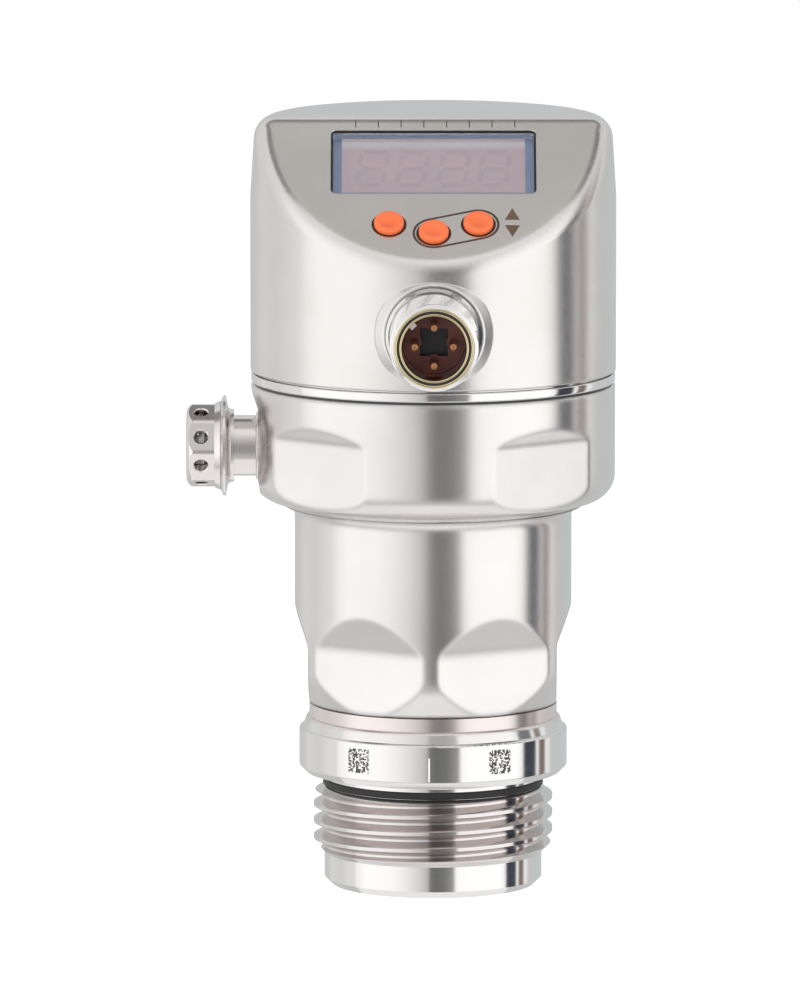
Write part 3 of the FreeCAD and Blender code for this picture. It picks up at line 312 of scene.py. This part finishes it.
def moulded(name, colour, dark, roughness, grain, strength=0.15, **sockets):
    """Moulded plastic or rubber: slight clouding and a fine moulded grain.

    The real grain is too fine to show, so it is drawn coarser.
    """
    material, tree, shader = new_material(name, colour, 0.0, roughness, **sockets)
    place = stretched(tree, 1, 1, 1)
    cloud = add_node(tree, "ShaderNodeTexNoise", {"Vector": place, "Scale": per_mm(2.5),
                                                  "Detail": 2.0}).outputs["Fac"]
    tint = add_node(tree, "ShaderNodeMapRange", {"Value": cloud, "From Min": 0.3,
                                                 "From Max": 0.7}).outputs["Result"]
    skin = add_node(tree, "ShaderNodeMix", {"Factor": tint, "A": linear(dark), "B": linear(colour)},
                    data_type="RGBA").outputs["Result"]
    tree.links.new(skin, shader.inputs["Base Color"])
    fine = add_node(tree, "ShaderNodeTexNoise", {"Vector": place, "Scale": per_mm(grain),
                                                 "Detail": 2.0}).outputs["Fac"]
    relief = add_node(tree, "ShaderNodeBump", {"Height": fine, "Strength": strength,
                                               "Distance": mm(0.02)}).outputs["Normal"]
    tree.links.new(relief, shader.inputs["Normal"])
    return material


# Stainless steel 1.4404 of the head, deep drawn and glass-bead blasted: pale, soft bands.
head_steel = satin_steel("satin_stainless_head", "#DEDCD9", "#D7D4D1", 0.23, 0.22, 0.25)
# The same steel on the turned body, a little finer.
body_steel = satin_steel("satin_stainless_body", "#E0DDDB", "#D9D6D4", 0.21, 0.20, 1.1)
# Stainless steel 1.4404, turned and electropolished: bright, sharp bands, faint rings.
fitting_steel = turned_steel("polished_stainless_fitting", "#E0DFDD", 0.09, 0.10, 0.10)
# Heat of the weld and of the thread's cutting leaves a faint pink brown on the same steel.
tinted(fitting_steel, "#DFD6D3", "Z", *WELD_ZONE)
# The band below the weld is duller than the rest, and the weld line itself is dark.
brushed(fitting_steel, 0.24, "Z", *WELD_ZONE)
tinted(fitting_steel, "#5B5350", "Z", *WELD_LINE_ZONE)
tinted(fitting_steel, "#D6D1CF", "Z", *THREAD_ZONE)
# Stainless steel 1.4404 of the vent, and of the rings, turned: a duller and a brighter polish.
vent_steel = turned_steel("polished_stainless_vent", "#E0DBD9", 0.16, 0.10, 0.10)
ring_steel = turned_steel("polished_stainless_ring", "#E1E0DE", 0.07, 0.10, 0.05)
# Stainless steel of the small inner parts: darker and duller.
small_steel = satin_steel("satin_stainless_small", "#BDBBB8", "#B0AEAB", 0.30, 0.15, 0.1)
# Gold-plated brass of the shell's lip and the contact pins, a thin pale plating.
champagne = turned_steel("gold_flash_plating", "#DCCDA6", 0.16, 0.08, 0.05)
pin_brass = turned_steel("gold_plated_brass", "#BC8560", 0.40, 0.08, 0.05)
# Silicone of the keys, moulded: warm orange, soft shine.
key_silicone = moulded("moulded_silicone_orange", "#FF7A45", "#FA7440", 0.42, 0.18)
# EPDM and FKM seals, moulded: black or dark grey, dull.
# The same black also paints the shade round the keys and the dark reflection in the connector's
# mouth.
seal_rubber = moulded("moulded_epdm_black", "#1C1B1B", "#161515", 0.55, 0.15)
grey_seal = moulded("moulded_fkm_grey", "#3A3A3B", "#333334", 0.5, 0.15)
# Glass-filled polyamide round the display: blue-grey.
frame_plastic = moulded("moulded_polyamide_bluegrey", "#8C9DC0", "#8496BA", 0.45, 0.2)
# Filter sheet of the display, acrylic: pinkish grey lilac.
display_acrylic = moulded("cast_acrylic_lilac", "#DCC3C4", "#D2BDC2", 0.5, 0.9, 0.05)
# Painted highlight: a pale band of light across the filter sheet.
tinted(display_acrylic, "#E6DFE2", "Z", *DISPLAY_HIGHLIGHT, HIGHLIGHT_EDGE)
ghost_acrylic = moulded("cast_acrylic_ghost_digits", "#D3BABD", "#C9B4BB", 0.5, 0.3, 0.05)
# Contact carrier, moulded polyamide: dark red-brown, with painted shade near black in its recess
# and a painted highlight on the key's end.
carrier_brown = moulded("moulded_polyamide_redbrown", "#753A2E", "#5E2E25", 0.38, 0.3)
tinted(carrier_brown, "#B4A9A8", "Y", *KEY_GLINT_ZONE)
tinted(carrier_brown, "#303134", "Y", *RECESS_SHADE_ZONE)
# Alumina of the measuring cell, lapped: off-white, matt.
alumina = moulded("lapped_alumina", "#EFEDE8", "#E7E4DE", 0.5, 0.1, 0.05)
# Glass-fibre board with green solder mask.
board_green = moulded("fr4_solder_mask", "#1F5A38", "#1A4F31", 0.4, 0.3)
# PBT of the board carrier and the lead socket, also put on the vent's membrane: white, semi-matt.
white_pbt = moulded("moulded_pbt_white", "#DEDCD7", "#D5D3CD", 0.45, 0.2)
# Laser-annealed marks in the steel: dark brown, tan or grey, matt.
laser_brown = moulded("laser_annealed_brown", "#4B3A31", "#43342D", 0.5, 0.1, 0.05)
laser_tan = moulded("laser_annealed_tan", "#66503F", "#5C4838", 0.5, 0.1, 0.05)
laser_grey = moulded("laser_annealed_grey", "#3E3A39", "#373433", 0.5, 0.1, 0.05)

# Toughened glass of the window, ground flat: clear, with a slight cool tint.
window_glass, _, _ = new_material("toughened_glass", "#F1F2F5", 0.0, 0.04, IOR=1.5,
                                  Transmission_Weight=1.0)


# ---------------------------------------------------------------- mesh helpers
def finish_piece(name, mesh_data, material, body, smooth=True):
    """Turns mesh data into a piece of the object that rides on a body."""
    mesh = bpy.data.meshes.new(name)
    mesh_data.to_mesh(mesh)
    mesh_data.free()
    mesh.polygons.foreach_set("use_smooth", [smooth] * len(mesh.polygons))
    piece = bpy.data.objects.new(name, mesh)
    bpy.context.scene.collection.objects.link(piece)
    mesh.materials.append(material)
    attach(piece, body)
    return piece


def prism(bm, outline, z0, z1, place):
    """Closed prism over an (x, y) outline in millimetres."""
    low = [bm.verts.new(place @ Vector((mm(x), mm(y), mm(z0)))) for x, y in outline]
    high = [bm.verts.new(place @ Vector((mm(x), mm(y), mm(z1)))) for x, y in outline]
    count = len(outline)
    bm.faces.new(high)
    bm.faces.new(list(reversed(low)))
    for i in range(count):
        j = (i + 1) % count
        bm.faces.new((low[i], low[j], high[j], high[i]))


def band(bm, outer, inner, z0, z1, place):
    """Closed band between two outlines with the same number of points."""
    count = len(outer)
    rings = []
    for outline, z in ((outer, z0), (outer, z1), (inner, z1), (inner, z0)):
        rings.append([bm.verts.new(place @ Vector((mm(x), mm(y), mm(z)))) for x, y in outline])
    for k in range(4):
        first, second = rings[k], rings[(k + 1) % 4]
        for i in range(count):
            j = (i + 1) % count
            bm.faces.new((first[i], first[j], second[j], second[i]))


def turned_ring(bm, z, radius, segments, place):
    """Ring of vertices round local Z; radius(z, angle) gives each one's radius."""
    ring = []
    for i in range(segments):
        a = 2 * math.pi * i / segments
        r = radius(z, a)
        point = Vector((mm(r * math.cos(a)), mm(r * math.sin(a)), mm(z)))
        ring.append(bm.verts.new(place @ point))
    return ring


def lathe(bm, profile, segments, place):
    """Surface of revolution about local Z from (height, radius) points in millimetres."""
    rings = [turned_ring(bm, z, lambda height, angle, r=r: r, segments, place)
             for z, r in profile]
    join_rings(bm, rings)
    return rings


def closed_lathe(profile, segments, place):
    """Solid of revolution whose profile runs back to its first point."""
    bm = bmesh.new()
    rings = lathe(bm, profile, segments, place)
    join_rings(bm, [rings[-1], rings[0]])
    bmesh.ops.recalc_face_normals(bm, faces=bm.faces)
    return bm


def join_rings(bm, rings):
    """Faces between each ring of vertices and the next."""
    for lower, upper in zip(rings, rings[1:]):
        count = len(lower)
        for i in range(count):
            j = (i + 1) % count
            bm.faces.new((lower[i], lower[j], upper[j], upper[i]))


def sharpen(piece, angle=35.0):
    """Keeps edges above this angle crisp."""
    bpy.context.view_layer.objects.active = piece
    piece.select_set(True)
    bpy.ops.object.shade_smooth_by_angle(angle=math.radians(angle))
    piece.select_set(False)


def dress(material, *names):
    """Gives CAD nodes their finish."""
    for name in names:
        node = nodes[name]
        node.data.materials.clear()
        node.data.materials.append(material)


# ---------------------------------------------------------------- finishes of the solids
dress(head_steel, "head_housing")
dress(body_steel, "sensor_body")
dress(fitting_steel, "process_fitting")
dress(vent_steel, "vent_body", "vent_cap")
dress(ring_steel, "seam_ring", "slip_washer")
dress(small_steel, "clamp_ring", "snap_ring", "stop_pin", "cell_spacer", "connector_nut",
      "display_screws", "membrane_clip", "tact_switch_1", "tact_switch_2", "tact_switch_3")
dress(key_silicone, "button_1", "button_2", "button_3")
dress(seal_rubber, "head_seal", "connector_seal", "vent_seal",
      "signal_lead", "connector_wires")
dress(grey_seal, "front_seal", "base_gasket")
dress(window_glass, "display_window")
dress(frame_plastic, "display_frame")
dress(display_acrylic, "display_module")
dress(board_green, "display_board", "main_board", "sensor_board")
dress(white_pbt, "board_carrier", "lead_socket", "vent_membrane")
dress(carrier_brown, "contact_carrier")
dress(pin_brass, "contact_pin_1", "contact_pin_2", "contact_pin_3", "contact_pin_4")
dress(alumina, "measuring_cell")


# ---------------------------------------------------------------- marks on the panel
def window_edge():
    """Dark seal that shows round the glass on the left, the top and the right."""
    bm = bmesh.new()
    half = WINDOW_W / 2
    low = -WINDOW_TOP - WINDOW_L
    line = WINDOW_LINE
    z0 = -WINDOW_SET
    outline = [(-half, low), (-half + line, low), (-half + line, -WINDOW_TOP - line),
               (half - line, -WINDOW_TOP - line), (half - line, low), (half, low),
               (half, -WINDOW_TOP), (-half, -WINDOW_TOP)]
    prism(bm, outline, z0, z0 + WINDOW_LINE_T, ON_PANEL)
    return finish_piece("window_edge_seal", bm, seal_rubber, "head", False)


def rectangle(x0, x1, y0, y1):
    """Outline of a rectangle, anticlockwise."""
    return [(x0, y0), (x1, y0), (x1, y1), (x0, y1)]


def window_mask():
    """Blue mask behind the glass, open over the display."""
    bm = bmesh.new()
    half = WINDOW_W / 2 - MASK_GAP
    back = -WINDOW_SET - WINDOW_T - MASK_T
    outer = rectangle(-half, half, -WINDOW_TOP - WINDOW_L + MASK_GAP, -WINDOW_TOP - MASK_GAP)
    inner = rectangle(-half + MASK_SIDE, half - MASK_SIDE, -WINDOW_TOP - WINDOW_L + MASK_FOOT,
                      -WINDOW_TOP - MASK_TOP)
    band(bm, outer, inner, back + SKIN, back + MASK_T - SKIN, ON_PANEL)
    return finish_piece("window_mask", bm, frame_plastic, "head", False)


def display_face():
    """Lilac filter sheet that fills the mask's opening."""
    bm = bmesh.new()
    half = WINDOW_W / 2 - (MASK_GAP + FACE_GAP) - MASK_SIDE
    back = -WINDOW_SET - WINDOW_T - MASK_T
    outline = rectangle(-half, half, -WINDOW_TOP - WINDOW_L + MASK_FOOT + FACE_GAP,
                        -WINDOW_TOP - MASK_TOP - FACE_GAP)
    prism(bm, outline, back + SKIN, back + MASK_T - FACE_SET, ON_PANEL)
    return finish_piece("display_face", bm, display_acrylic, "head", False)


def ghost_digits():
    """Unlit seven-stroke digits, faint on the filter sheet."""
    bm = bmesh.new()
    top = -WINDOW_SET - WINDOW_T - FACE_SET
    middle = -WINDOW_TOP - (WINDOW_L + MASK_TOP - MASK_FOOT) / 2 - DIGIT_DROP
    half_w, half_l = DIGIT_W / 2, DIGIT_L / 2
    reach = DIGIT_STROKE / 2
    for k in range(DIGITS):
        x = (k - (DIGITS - 1) / 2) * DIGIT_PITCH
        for level in (-half_l, 0, half_l):
            slide = x + level * DIGIT_LEAN
            prism(bm, rectangle(slide - half_w + reach, slide + half_w - reach,
                                middle + level - reach, middle + level + reach),
                  top, top + MARK_T, ON_PANEL)
        for side in (-half_w, half_w):
            for low, high in ((-half_l + DIGIT_GAP, -DIGIT_GAP), (DIGIT_GAP, half_l - DIGIT_GAP)):
                foot, head = [x + side + level * DIGIT_LEAN for level in (low, high)]
                outline = [(foot - reach, middle + low + reach),
                           (foot + reach, middle + low + reach),
                           (head + reach, middle + high - reach),
                           (head - reach, middle + high - reach)]
                prism(bm, outline, top, top + MARK_T, ON_PANEL)
    return finish_piece("ghost_digits", bm, ghost_acrylic, "head", False)


def tick_row():
    """Row of short marks along the panel's upper edge."""
    bm = bmesh.new()
    for k in range(TICKS):
        x = (k - (TICKS - 1) / 2) * TICK_PITCH + TICK_SHIFT
        outline = rectangle(x - TICK_W / 2, x + TICK_W / 2, -TICK_TOP - TICK_L, -TICK_TOP)
        prism(bm, outline, 0, MARK_T, ON_PANEL)
    return finish_piece("tick_row", bm, laser_brown, "head", False)


def stadium(radius):
    """Outline of this radius round the two keys."""
    (x0, d0), (x1, d1) = KEYS
    lean = math.atan2(d0 - d1, x1 - x0)
    points = []
    for centre, start in (((x0, -d0), lean + math.pi / 2), ((x1, -d1), lean - math.pi / 2)):
        for k in range(OUTLINE_STEPS + 1):
            a = start + math.pi * k / OUTLINE_STEPS
            points.append((centre[0] + radius * math.cos(a), centre[1] + radius * math.sin(a)))
    return points


def key_outline():
    """Marked line round the two keys."""
    bm = bmesh.new()
    band(bm, stadium(KEY_OUTLINE_R), stadium(KEY_OUTLINE_R - KEY_OUTLINE_W), 0, MARK_T, ON_PANEL)
    return finish_piece("key_outline", bm, laser_brown, "head", False)


def painted_key_shade():
    """Painted shade: a dark ring round each key, where the gap round it lies in shadow."""
    bm = bmesh.new()
    inner, outer = KEY_SHADE_RING
    for x, down in KEYS + (LEFT_KEY,):
        angles = [2 * math.pi * k / SHADE_RING_STEPS for k in range(SHADE_RING_STEPS)]
        rings = [[(x + r * math.cos(a), -down + r * math.sin(a)) for a in angles]
                 for r in (outer, inner)]
        band(bm, rings[0], rings[1], 0, MARK_T, ON_PANEL)
    return finish_piece("painted_key_shade", bm, seal_rubber, "head", False)


def arrows():
    """Two marked triangles beside the keys, one up and one down."""
    bm = bmesh.new()
    for base, tip in ARROWS:
        corners = [(ARROW_X - ARROW_W / 2, -base), (ARROW_X + ARROW_W / 2, -base), (ARROW_X, -tip)]
        if tip > base:
            corners.reverse()
        prism(bm, corners, 0, MARK_T, ON_PANEL)
    return finish_piece("arrows", bm, laser_tan, "head", False)


window_edge()
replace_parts(window_mask(), "window_gasket")
display_face()
ghost_digits()
painted_key_shade()
tick_row()
key_outline()
arrows()


# ---------------------------------------------------------------- connector
def thread_radius(z, angle):
    """Radius of the M12 x 1 thread at this height and angle, within its run-in and run-out."""
    turn = (z / THREAD_PITCH - angle / (2 * math.pi)) % 1.0
    depth = THREAD_R - THREAD_ROOT_R
    share = min(max((abs(turn - 0.5) - THREAD_CREST) / THREAD_FLANK, 0.0), 1.0)
    radius = THREAD_R - depth * share
    if z > THREAD_END:
        taper = SHELL_TIP - LIP_H - THREAD_END
        radius = min(radius, THREAD_R - (z - THREAD_END) * (THREAD_R - SHELL_TIP_R) / taper)
    if z < THREAD_START + THREAD_RUN_IN:
        radius = min(radius, THREAD_ROOT_R + (z - THREAD_START) / THREAD_RUN_IN * depth)
    return radius


def lip(outer, inner, height):
    """Half round edge at the shell's tip, from its outer to its inner radius."""
    middle, half = (outer + inner) / 2, (outer - inner) / 2
    angles = [math.pi * k / LIP_STEPS for k in range(LIP_STEPS + 1)]
    return [(SHELL_TIP - height + height * math.sin(a), middle + half * math.cos(a))
            for a in angles]


def connector_shell():
    """The shell with its real thread: flange, relief, M12 x 1 thread, lips and bore."""
    bm = bmesh.new()
    thread_l = SHELL_TIP - LIP_H - THREAD_START
    rows = int(thread_l / THREAD_ROW)
    rings = lathe(bm, SHELL_PROFILE, SHELL_SIDES, ON_CONNECTOR)
    thread = [turned_ring(bm, THREAD_START + thread_l * k / rows, thread_radius, SHELL_SIDES,
                          ON_CONNECTOR)
              for k in range(1, rows + 1)]
    join_rings(bm, [rings[-1]] + thread)
    ring_in, ring_out = MOUTH_DARK_RING
    groove = SHELL_TIP - MOUTH_GROOVE
    chamfer_h, chamfer_w = SHELL_CHAMFER
    inner = (lip(SHELL_TIP_R, ring_out, LIP_H)[1:] + [(groove, ring_out), (groove, ring_in)]
             + lip(ring_in, SHELL_BORE_R + chamfer_w, INNER_LIP_H)
             + [(SHELL_TIP - chamfer_h, SHELL_BORE_R), (SHELL_STEP, SHELL_BORE_R),
                (SHELL_STEP, SHELL_BACK_R), (SHELL_PROFILE[0][0], SHELL_BACK_R)])
    mouth = lathe(bm, inner, SHELL_SIDES, ON_CONNECTOR)
    join_rings(bm, [thread[-1], mouth[0]])
    join_rings(bm, [mouth[-1], rings[0]])
    bmesh.ops.recalc_face_normals(bm, faces=bm.faces)
    to_shell = ON_CONNECTOR.inverted()
    for face in bm.faces:
        if (to_shell @ face.calc_center_median()).z > mm(SHELL_TIP - LIP_H):
            face.material_index = 1
    shell = finish_piece("connector_shell_threaded", bm, ring_steel, "head")
    shell.data.materials.append(champagne)
    sharpen(shell)
    return shell


def mouth_dark_ring():
    """Black ring between the shell's two lips: a painted reflection, standing in for the dark that
    the shell's end face mirrors.
    """
    ring_in, ring_out = MOUTH_DARK_RING
    back, front = [SHELL_TIP - depth for depth in MOUTH_DARK_RING_Z]
    profile = ((back, ring_out - SKIN), (front, ring_out - SKIN),
               (front, ring_in + SKIN), (back, ring_in + SKIN))
    bm = closed_lathe(profile, SHELL_SIDES, ON_CONNECTOR)
    return finish_piece("mouth_dark_ring", bm, seal_rubber, "head", False)


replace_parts(connector_shell(), "connector_shell")
mouth_dark_ring()


# ---------------------------------------------------------------- marks on the collar
def on_collar(along, z):
    """Point on the collar's round face, from its distance along it and its height."""
    r = mm(COLLAR_R + MARK_T)
    angle = along / COLLAR_R
    return Vector((r * math.sin(angle), -r * math.cos(angle), mm(z)))


def collar_patch(bm, x0, x1, z0, z1):
    """Four-cornered mark on the collar's round face."""
    lower = [bm.verts.new(on_collar(x, z0)) for x in (x0, x1)]
    upper = [bm.verts.new(on_collar(x, z1)) for x in (x0, x1)]
    bm.faces.new((lower[0], lower[1], upper[1], upper[0]))


def code_squares():
    """Two squares of evenly strewn dots, without any meaning."""
    bm = bmesh.new()
    strewn = random.Random(7)
    cell = CODE_SIZE / CODE_CELLS
    for left in CODE_X:
        x_first = left - CODE_SIZE / 2
        for i in range(CODE_CELLS):
            for j in range(CODE_CELLS):
                if strewn.random() < 0.5:
                    x = x_first + i * cell
                    z = CODE_Z - CODE_SIZE / 2 + j * cell
                    collar_patch(bm, x, x + cell, z, z + cell)
    return finish_piece("dot_squares", bm, laser_grey, "base", False)


def index_line():
    """Pale upright line between the squares, in the ceramic's off-white."""
    bm = bmesh.new()
    collar_patch(bm, INDEX_X - INDEX_W / 2, INDEX_X + INDEX_W / 2, INDEX_Z - INDEX_H / 2,
                 INDEX_Z + INDEX_H / 2)
    return finish_piece("index_line", bm, alumina, "base", False)


def undercut_seal():
    """Black ring that lies in the undercut behind the thread."""
    bm = closed_lathe(UNDERCUT_SEAL, UNDERCUT_SIDES, Matrix.Identity(4))
    seal = finish_piece("undercut_seal", bm, seal_rubber, "base")
    sharpen(seal)
    return seal


def seam_ring():
    """Bright ring between base and head, with its two edges rounded."""
    low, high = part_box("seam_ring")
    z0, z1, r = 1000 * low.z, 1000 * high.z, 1000 * high.x
    angles = [math.pi / 2 * k / SEAM_EDGE_STEPS for k in range(SEAM_EDGE_STEPS + 1)]
    steps = [(SEAM_EDGE * (1 - math.cos(a)), SEAM_EDGE * (1 - math.sin(a))) for a in angles]
    profile = ([(z0, SEAM_BORE_R)]
               + [(z0 + cosine, r - sine) for cosine, sine in steps]
               + [(z1 - sine, r - cosine) for cosine, sine in steps]
               + [(z1, SEAM_BORE_R)])
    bm = closed_lathe(profile, SEAM_SIDES, Matrix.Identity(4))
    made = finish_piece("seam_ring_polished", bm, ring_steel, "base")
    sharpen(made)
    return made


code_squares()
index_line()
undercut_seal()
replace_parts(seam_ring(), "seam_ring")

# ---------------------------------------------------------------- studio
WHITE = (1.0, 1.0, 1.0, 1.0)
FLOOR_REACH = 6.0
FLOOR_LIGHT = 0.55          # the floor's own light, and how much of the lamps' it sends back
FLOOR_DIFFUSE = 0.85
WORLD_FILL = 0.5
LAMP_DISTANCE = 0.62
LAMP_HEIGHT = 1.3
LAMP_Z = 0.05
WALL_R = 0.60
WALL_FOOT = -0.6
WALL_TOP = 0.75
WALL_SIDES = 128
WALL_STRENGTH = 1.42
WALL_UPPER = (0.10, 0.72, 0.66)     # from and to this height the wall turns to this grey
WALL_LOWER = (-0.10, -0.46, 0.46)
CAMERA_AT = (-0.0046, -1.531, 0.2626)
CAMERA_LOOKS_AT = (-0.0046, 0, 0.0536)
LENS = 401.0
SENSOR = 36.0
CLIP_END = 20.0


def grey(value):
    """Even grey light."""
    return (value, value, value)


# Direction seen from above, 0 at the front and positive to the right, and the wall's light there.
WALL_STOPS = ((-180, (0.39, 0.42, 0.43)), (-150, grey(0.48)), (-135, grey(0.60)),
              (-115, grey(0.57)), (-100, grey(0.66)), (-88, grey(0.82)), (-75, grey(0.95)),
              (-45, grey(0.92)),
              (-30, grey(0.80)), (-20, grey(0.68)), (-10, grey(0.54)), (-4.8, grey(0.42)),
              (-3.6, grey(0.16)), (3, grey(0.13)), (12, grey(0.16)), (20, grey(0.26)),
              (21.8, grey(0.31)), (23.2, grey(0.90)), (30, grey(0.95)), (76, grey(0.97)),
              (82, grey(0.82)), (84.5, (0.035, 0.04, 0.055)), (98, (0.045, 0.05, 0.065)),
              (98.8, grey(0.80)), (102.2, grey(0.80)), (103, (0.16, 0.12, 0.10)),
              (110.5, (0.18, 0.14, 0.12)), (112, grey(0.74)), (117, grey(0.72)),
              (121, grey(0.50)), (150, (0.45, 0.48, 0.49)))
# Level cards over and under the object: name, left, right, front, back, height and light.
CARDS = (("card_ceiling", -0.32, 0.32, -0.24, 0.24, 0.80, (0.62, 0.61, 0.60)),
         ("card_back", -0.62, 0.62, 0.24, 0.62, 0.79, grey(0.25)),
         ("card_left", -0.62, -0.32, -0.12, 0.24, 0.79, grey(0.25)),
         ("card_right", 0.32, 0.62, -0.12, 0.24, 0.79, grey(0.25)),
         ("card_below", -0.62, 0.62, -0.62, 0.62, -0.62, grey(1.05)))


def studio_material(name, shade, strength, diffuse):
    """Card or floor: its own even light, and as much diffuse white as is asked."""
    material = bpy.data.materials.new(name)
    material.use_nodes = True
    tree = material.node_tree
    tree.nodes.clear()
    glow = add_node(tree, "ShaderNodeEmission", {"Color": tuple(shade) + (1.0,),
                                                 "Strength": strength})
    paint = add_node(tree, "ShaderNodeBsdfDiffuse", {"Color": (diffuse, diffuse, diffuse, 1.0)})
    both = add_node(tree, "ShaderNodeAddShader", {0: glow.outputs[0], 1: paint.outputs[0]})
    add_node(tree, "ShaderNodeOutputMaterial", {"Surface": both.outputs[0]})
    return material


def studio_wall():
    """Round wall that only shows in reflections: two softboxes and the dark gaps between them."""
    bm = bmesh.new()
    angles = [2 * math.pi * k / WALL_SIDES for k in range(WALL_SIDES)]
    rings = [[bm.verts.new((WALL_R * math.cos(a), WALL_R * math.sin(a), z)) for a in angles]
             for z in (WALL_FOOT, WALL_TOP)]
    join_rings(bm, rings)
    wall = studio_card("studio_wall", bm, grey(1.0))
    tree = wall.data.materials[0].node_tree
    place = add_node(tree, "ShaderNodeTexCoord")
    round_it = add_node(tree, "ShaderNodeTexGradient", {"Vector": place.outputs["Object"]},
                        gradient_type="RADIAL")
    ramp = add_node(tree, "ShaderNodeValToRGB", {"Fac": round_it.outputs["Fac"]})
    stops = sorted((((azimuth + 90) / 360) % 1.0, colour) for azimuth, colour in WALL_STOPS)
    elements = ramp.color_ramp.elements
    while len(elements) < len(stops):
        elements.new(0.5)
    for element, (position, colour) in zip(elements, stops):
        element.position = position
        element.color = tuple(colour) + (1.0,)
    glow = next(n for n in tree.nodes if n.type == "EMISSION")
    height = add_node(tree, "ShaderNodeSeparateXYZ",
                      {"Vector": place.outputs["Object"]}).outputs["Z"]
    light = ramp.outputs["Color"]
    for low, high, level in (WALL_UPPER, WALL_LOWER):
        share = add_node(tree, "ShaderNodeMapRange", {"Value": height, "From Min": low,
                                                      "From Max": high}).outputs["Result"]
        light = add_node(tree, "ShaderNodeMix", {"Factor": share, "A": light,
                                                 "B": grey(level) + (1.0,)},
                         data_type="RGBA").outputs["Result"]
    glow.inputs["Strength"].default_value = WALL_STRENGTH
    tree.links.new(light, glow.inputs["Color"])
    return wall


def stage_object(name, bm, shade, strength, diffuse, hidden_from):
    """Object of the studio, which some kinds of ray pass by."""
    mesh = bpy.data.meshes.new(name)
    bm.to_mesh(mesh)
    bm.free()
    made = bpy.data.objects.new(name, mesh)
    bpy.context.scene.collection.objects.link(made)
    mesh.materials.append(studio_material(name + "_paint", shade, strength, diffuse))
    for kind in hidden_from:
        setattr(made, "visible_" + kind, False)
    return made


def studio_card(name, bm, shade):
    """Card that only shows in reflections."""
    return stage_object(name, bm, shade, 1.0, 0.0, ("camera", "diffuse", "shadow", "transmission"))


def level_rectangle(left, right, front, back, z):
    """One level face, in metres."""
    bm = bmesh.new()
    corners = rectangle(left, right, front, back)
    bm.faces.new([bm.verts.new((x, y, z)) for x, y in corners])
    return bm


def floor():
    """Pale floor, lit by the lamps, with enough light of its own to stay white."""
    bm = level_rectangle(-FLOOR_REACH, FLOOR_REACH, -FLOOR_REACH, FLOOR_REACH, 0.0)
    return stage_object("studio_floor", bm, grey(1.0), FLOOR_LIGHT, FLOOR_DIFFUSE,
                        ("glossy", "shadow"))


def softbox(name, azimuth, width, radiance):
    """Area lamp that looks at the object; its power follows from the radiance asked."""
    data = bpy.data.lights.new(name, "AREA")
    data.shape = "RECTANGLE"
    data.size = width
    data.size_y = LAMP_HEIGHT
    data.energy = radiance * math.pi * width * LAMP_HEIGHT
    lamp = bpy.data.objects.new(name, data)
    a = math.radians(azimuth)
    lamp.location = (LAMP_DISTANCE * math.sin(a), -LAMP_DISTANCE * math.cos(a), LAMP_Z)
    lamp.rotation_mode = "QUATERNION"
    direction = Vector((0, 0, LAMP_Z)) - lamp.location
    lamp.rotation_quaternion = direction.to_track_quat("-Z", "Y")
    lamp.visible_glossy = False
    bpy.context.scene.collection.objects.link(lamp)
    return lamp


def world():
    """White to the camera and to reflections, and a plain grey fill for everything else."""
    made = bpy.data.worlds.new("studio_world")
    bpy.context.scene.world = made
    made.use_nodes = True
    tree = made.node_tree
    tree.nodes.clear()
    path = add_node(tree, "ShaderNodeLightPath")
    seen = add_node(tree, "ShaderNodeMath", {0: path.outputs["Is Camera Ray"],
                                             1: path.outputs["Is Glossy Ray"]}, operation="MAXIMUM")
    seen = add_node(tree, "ShaderNodeMath", {0: seen.outputs[0],
                                             1: path.outputs["Is Transmission Ray"]},
                    operation="MAXIMUM")
    fill = add_node(tree, "ShaderNodeBackground", {"Color": WHITE, "Strength": WORLD_FILL})
    white = add_node(tree, "ShaderNodeBackground", {"Color": WHITE, "Strength": 1.0})
    mixed = add_node(tree, "ShaderNodeMixShader", {0: seen.outputs[0], 1: fill.outputs[0],
                                                   2: white.outputs[0]})
    add_node(tree, "ShaderNodeOutputWorld", {"Surface": mixed.outputs[0]})


world()
floor()
softbox("softbox_left", azimuth=-57, width=1.50, radiance=1.15)
softbox("softbox_right", azimuth=54, width=0.74, radiance=1.25)
studio_wall()
for card, left, right, front, back, height, light in CARDS:
    studio_card(card, level_rectangle(left, right, front, back, height), light)

# ---------------------------------------------------------------- camera
camera_data = bpy.data.cameras.new("camera")
camera_data.lens = LENS
camera_data.sensor_width = SENSOR
camera_data.clip_end = CLIP_END
camera = bpy.data.objects.new("camera", camera_data)
camera.location = CAMERA_AT
camera.rotation_mode = "QUATERNION"
direction = Vector(CAMERA_LOOKS_AT) - camera.location
camera.rotation_quaternion = direction.to_track_quat("-Z", "Y")
bpy.context.scene.collection.objects.link(camera)
bpy.context.scene.camera = camera
bpy.context.scene.view_settings.view_transform = "Standard"
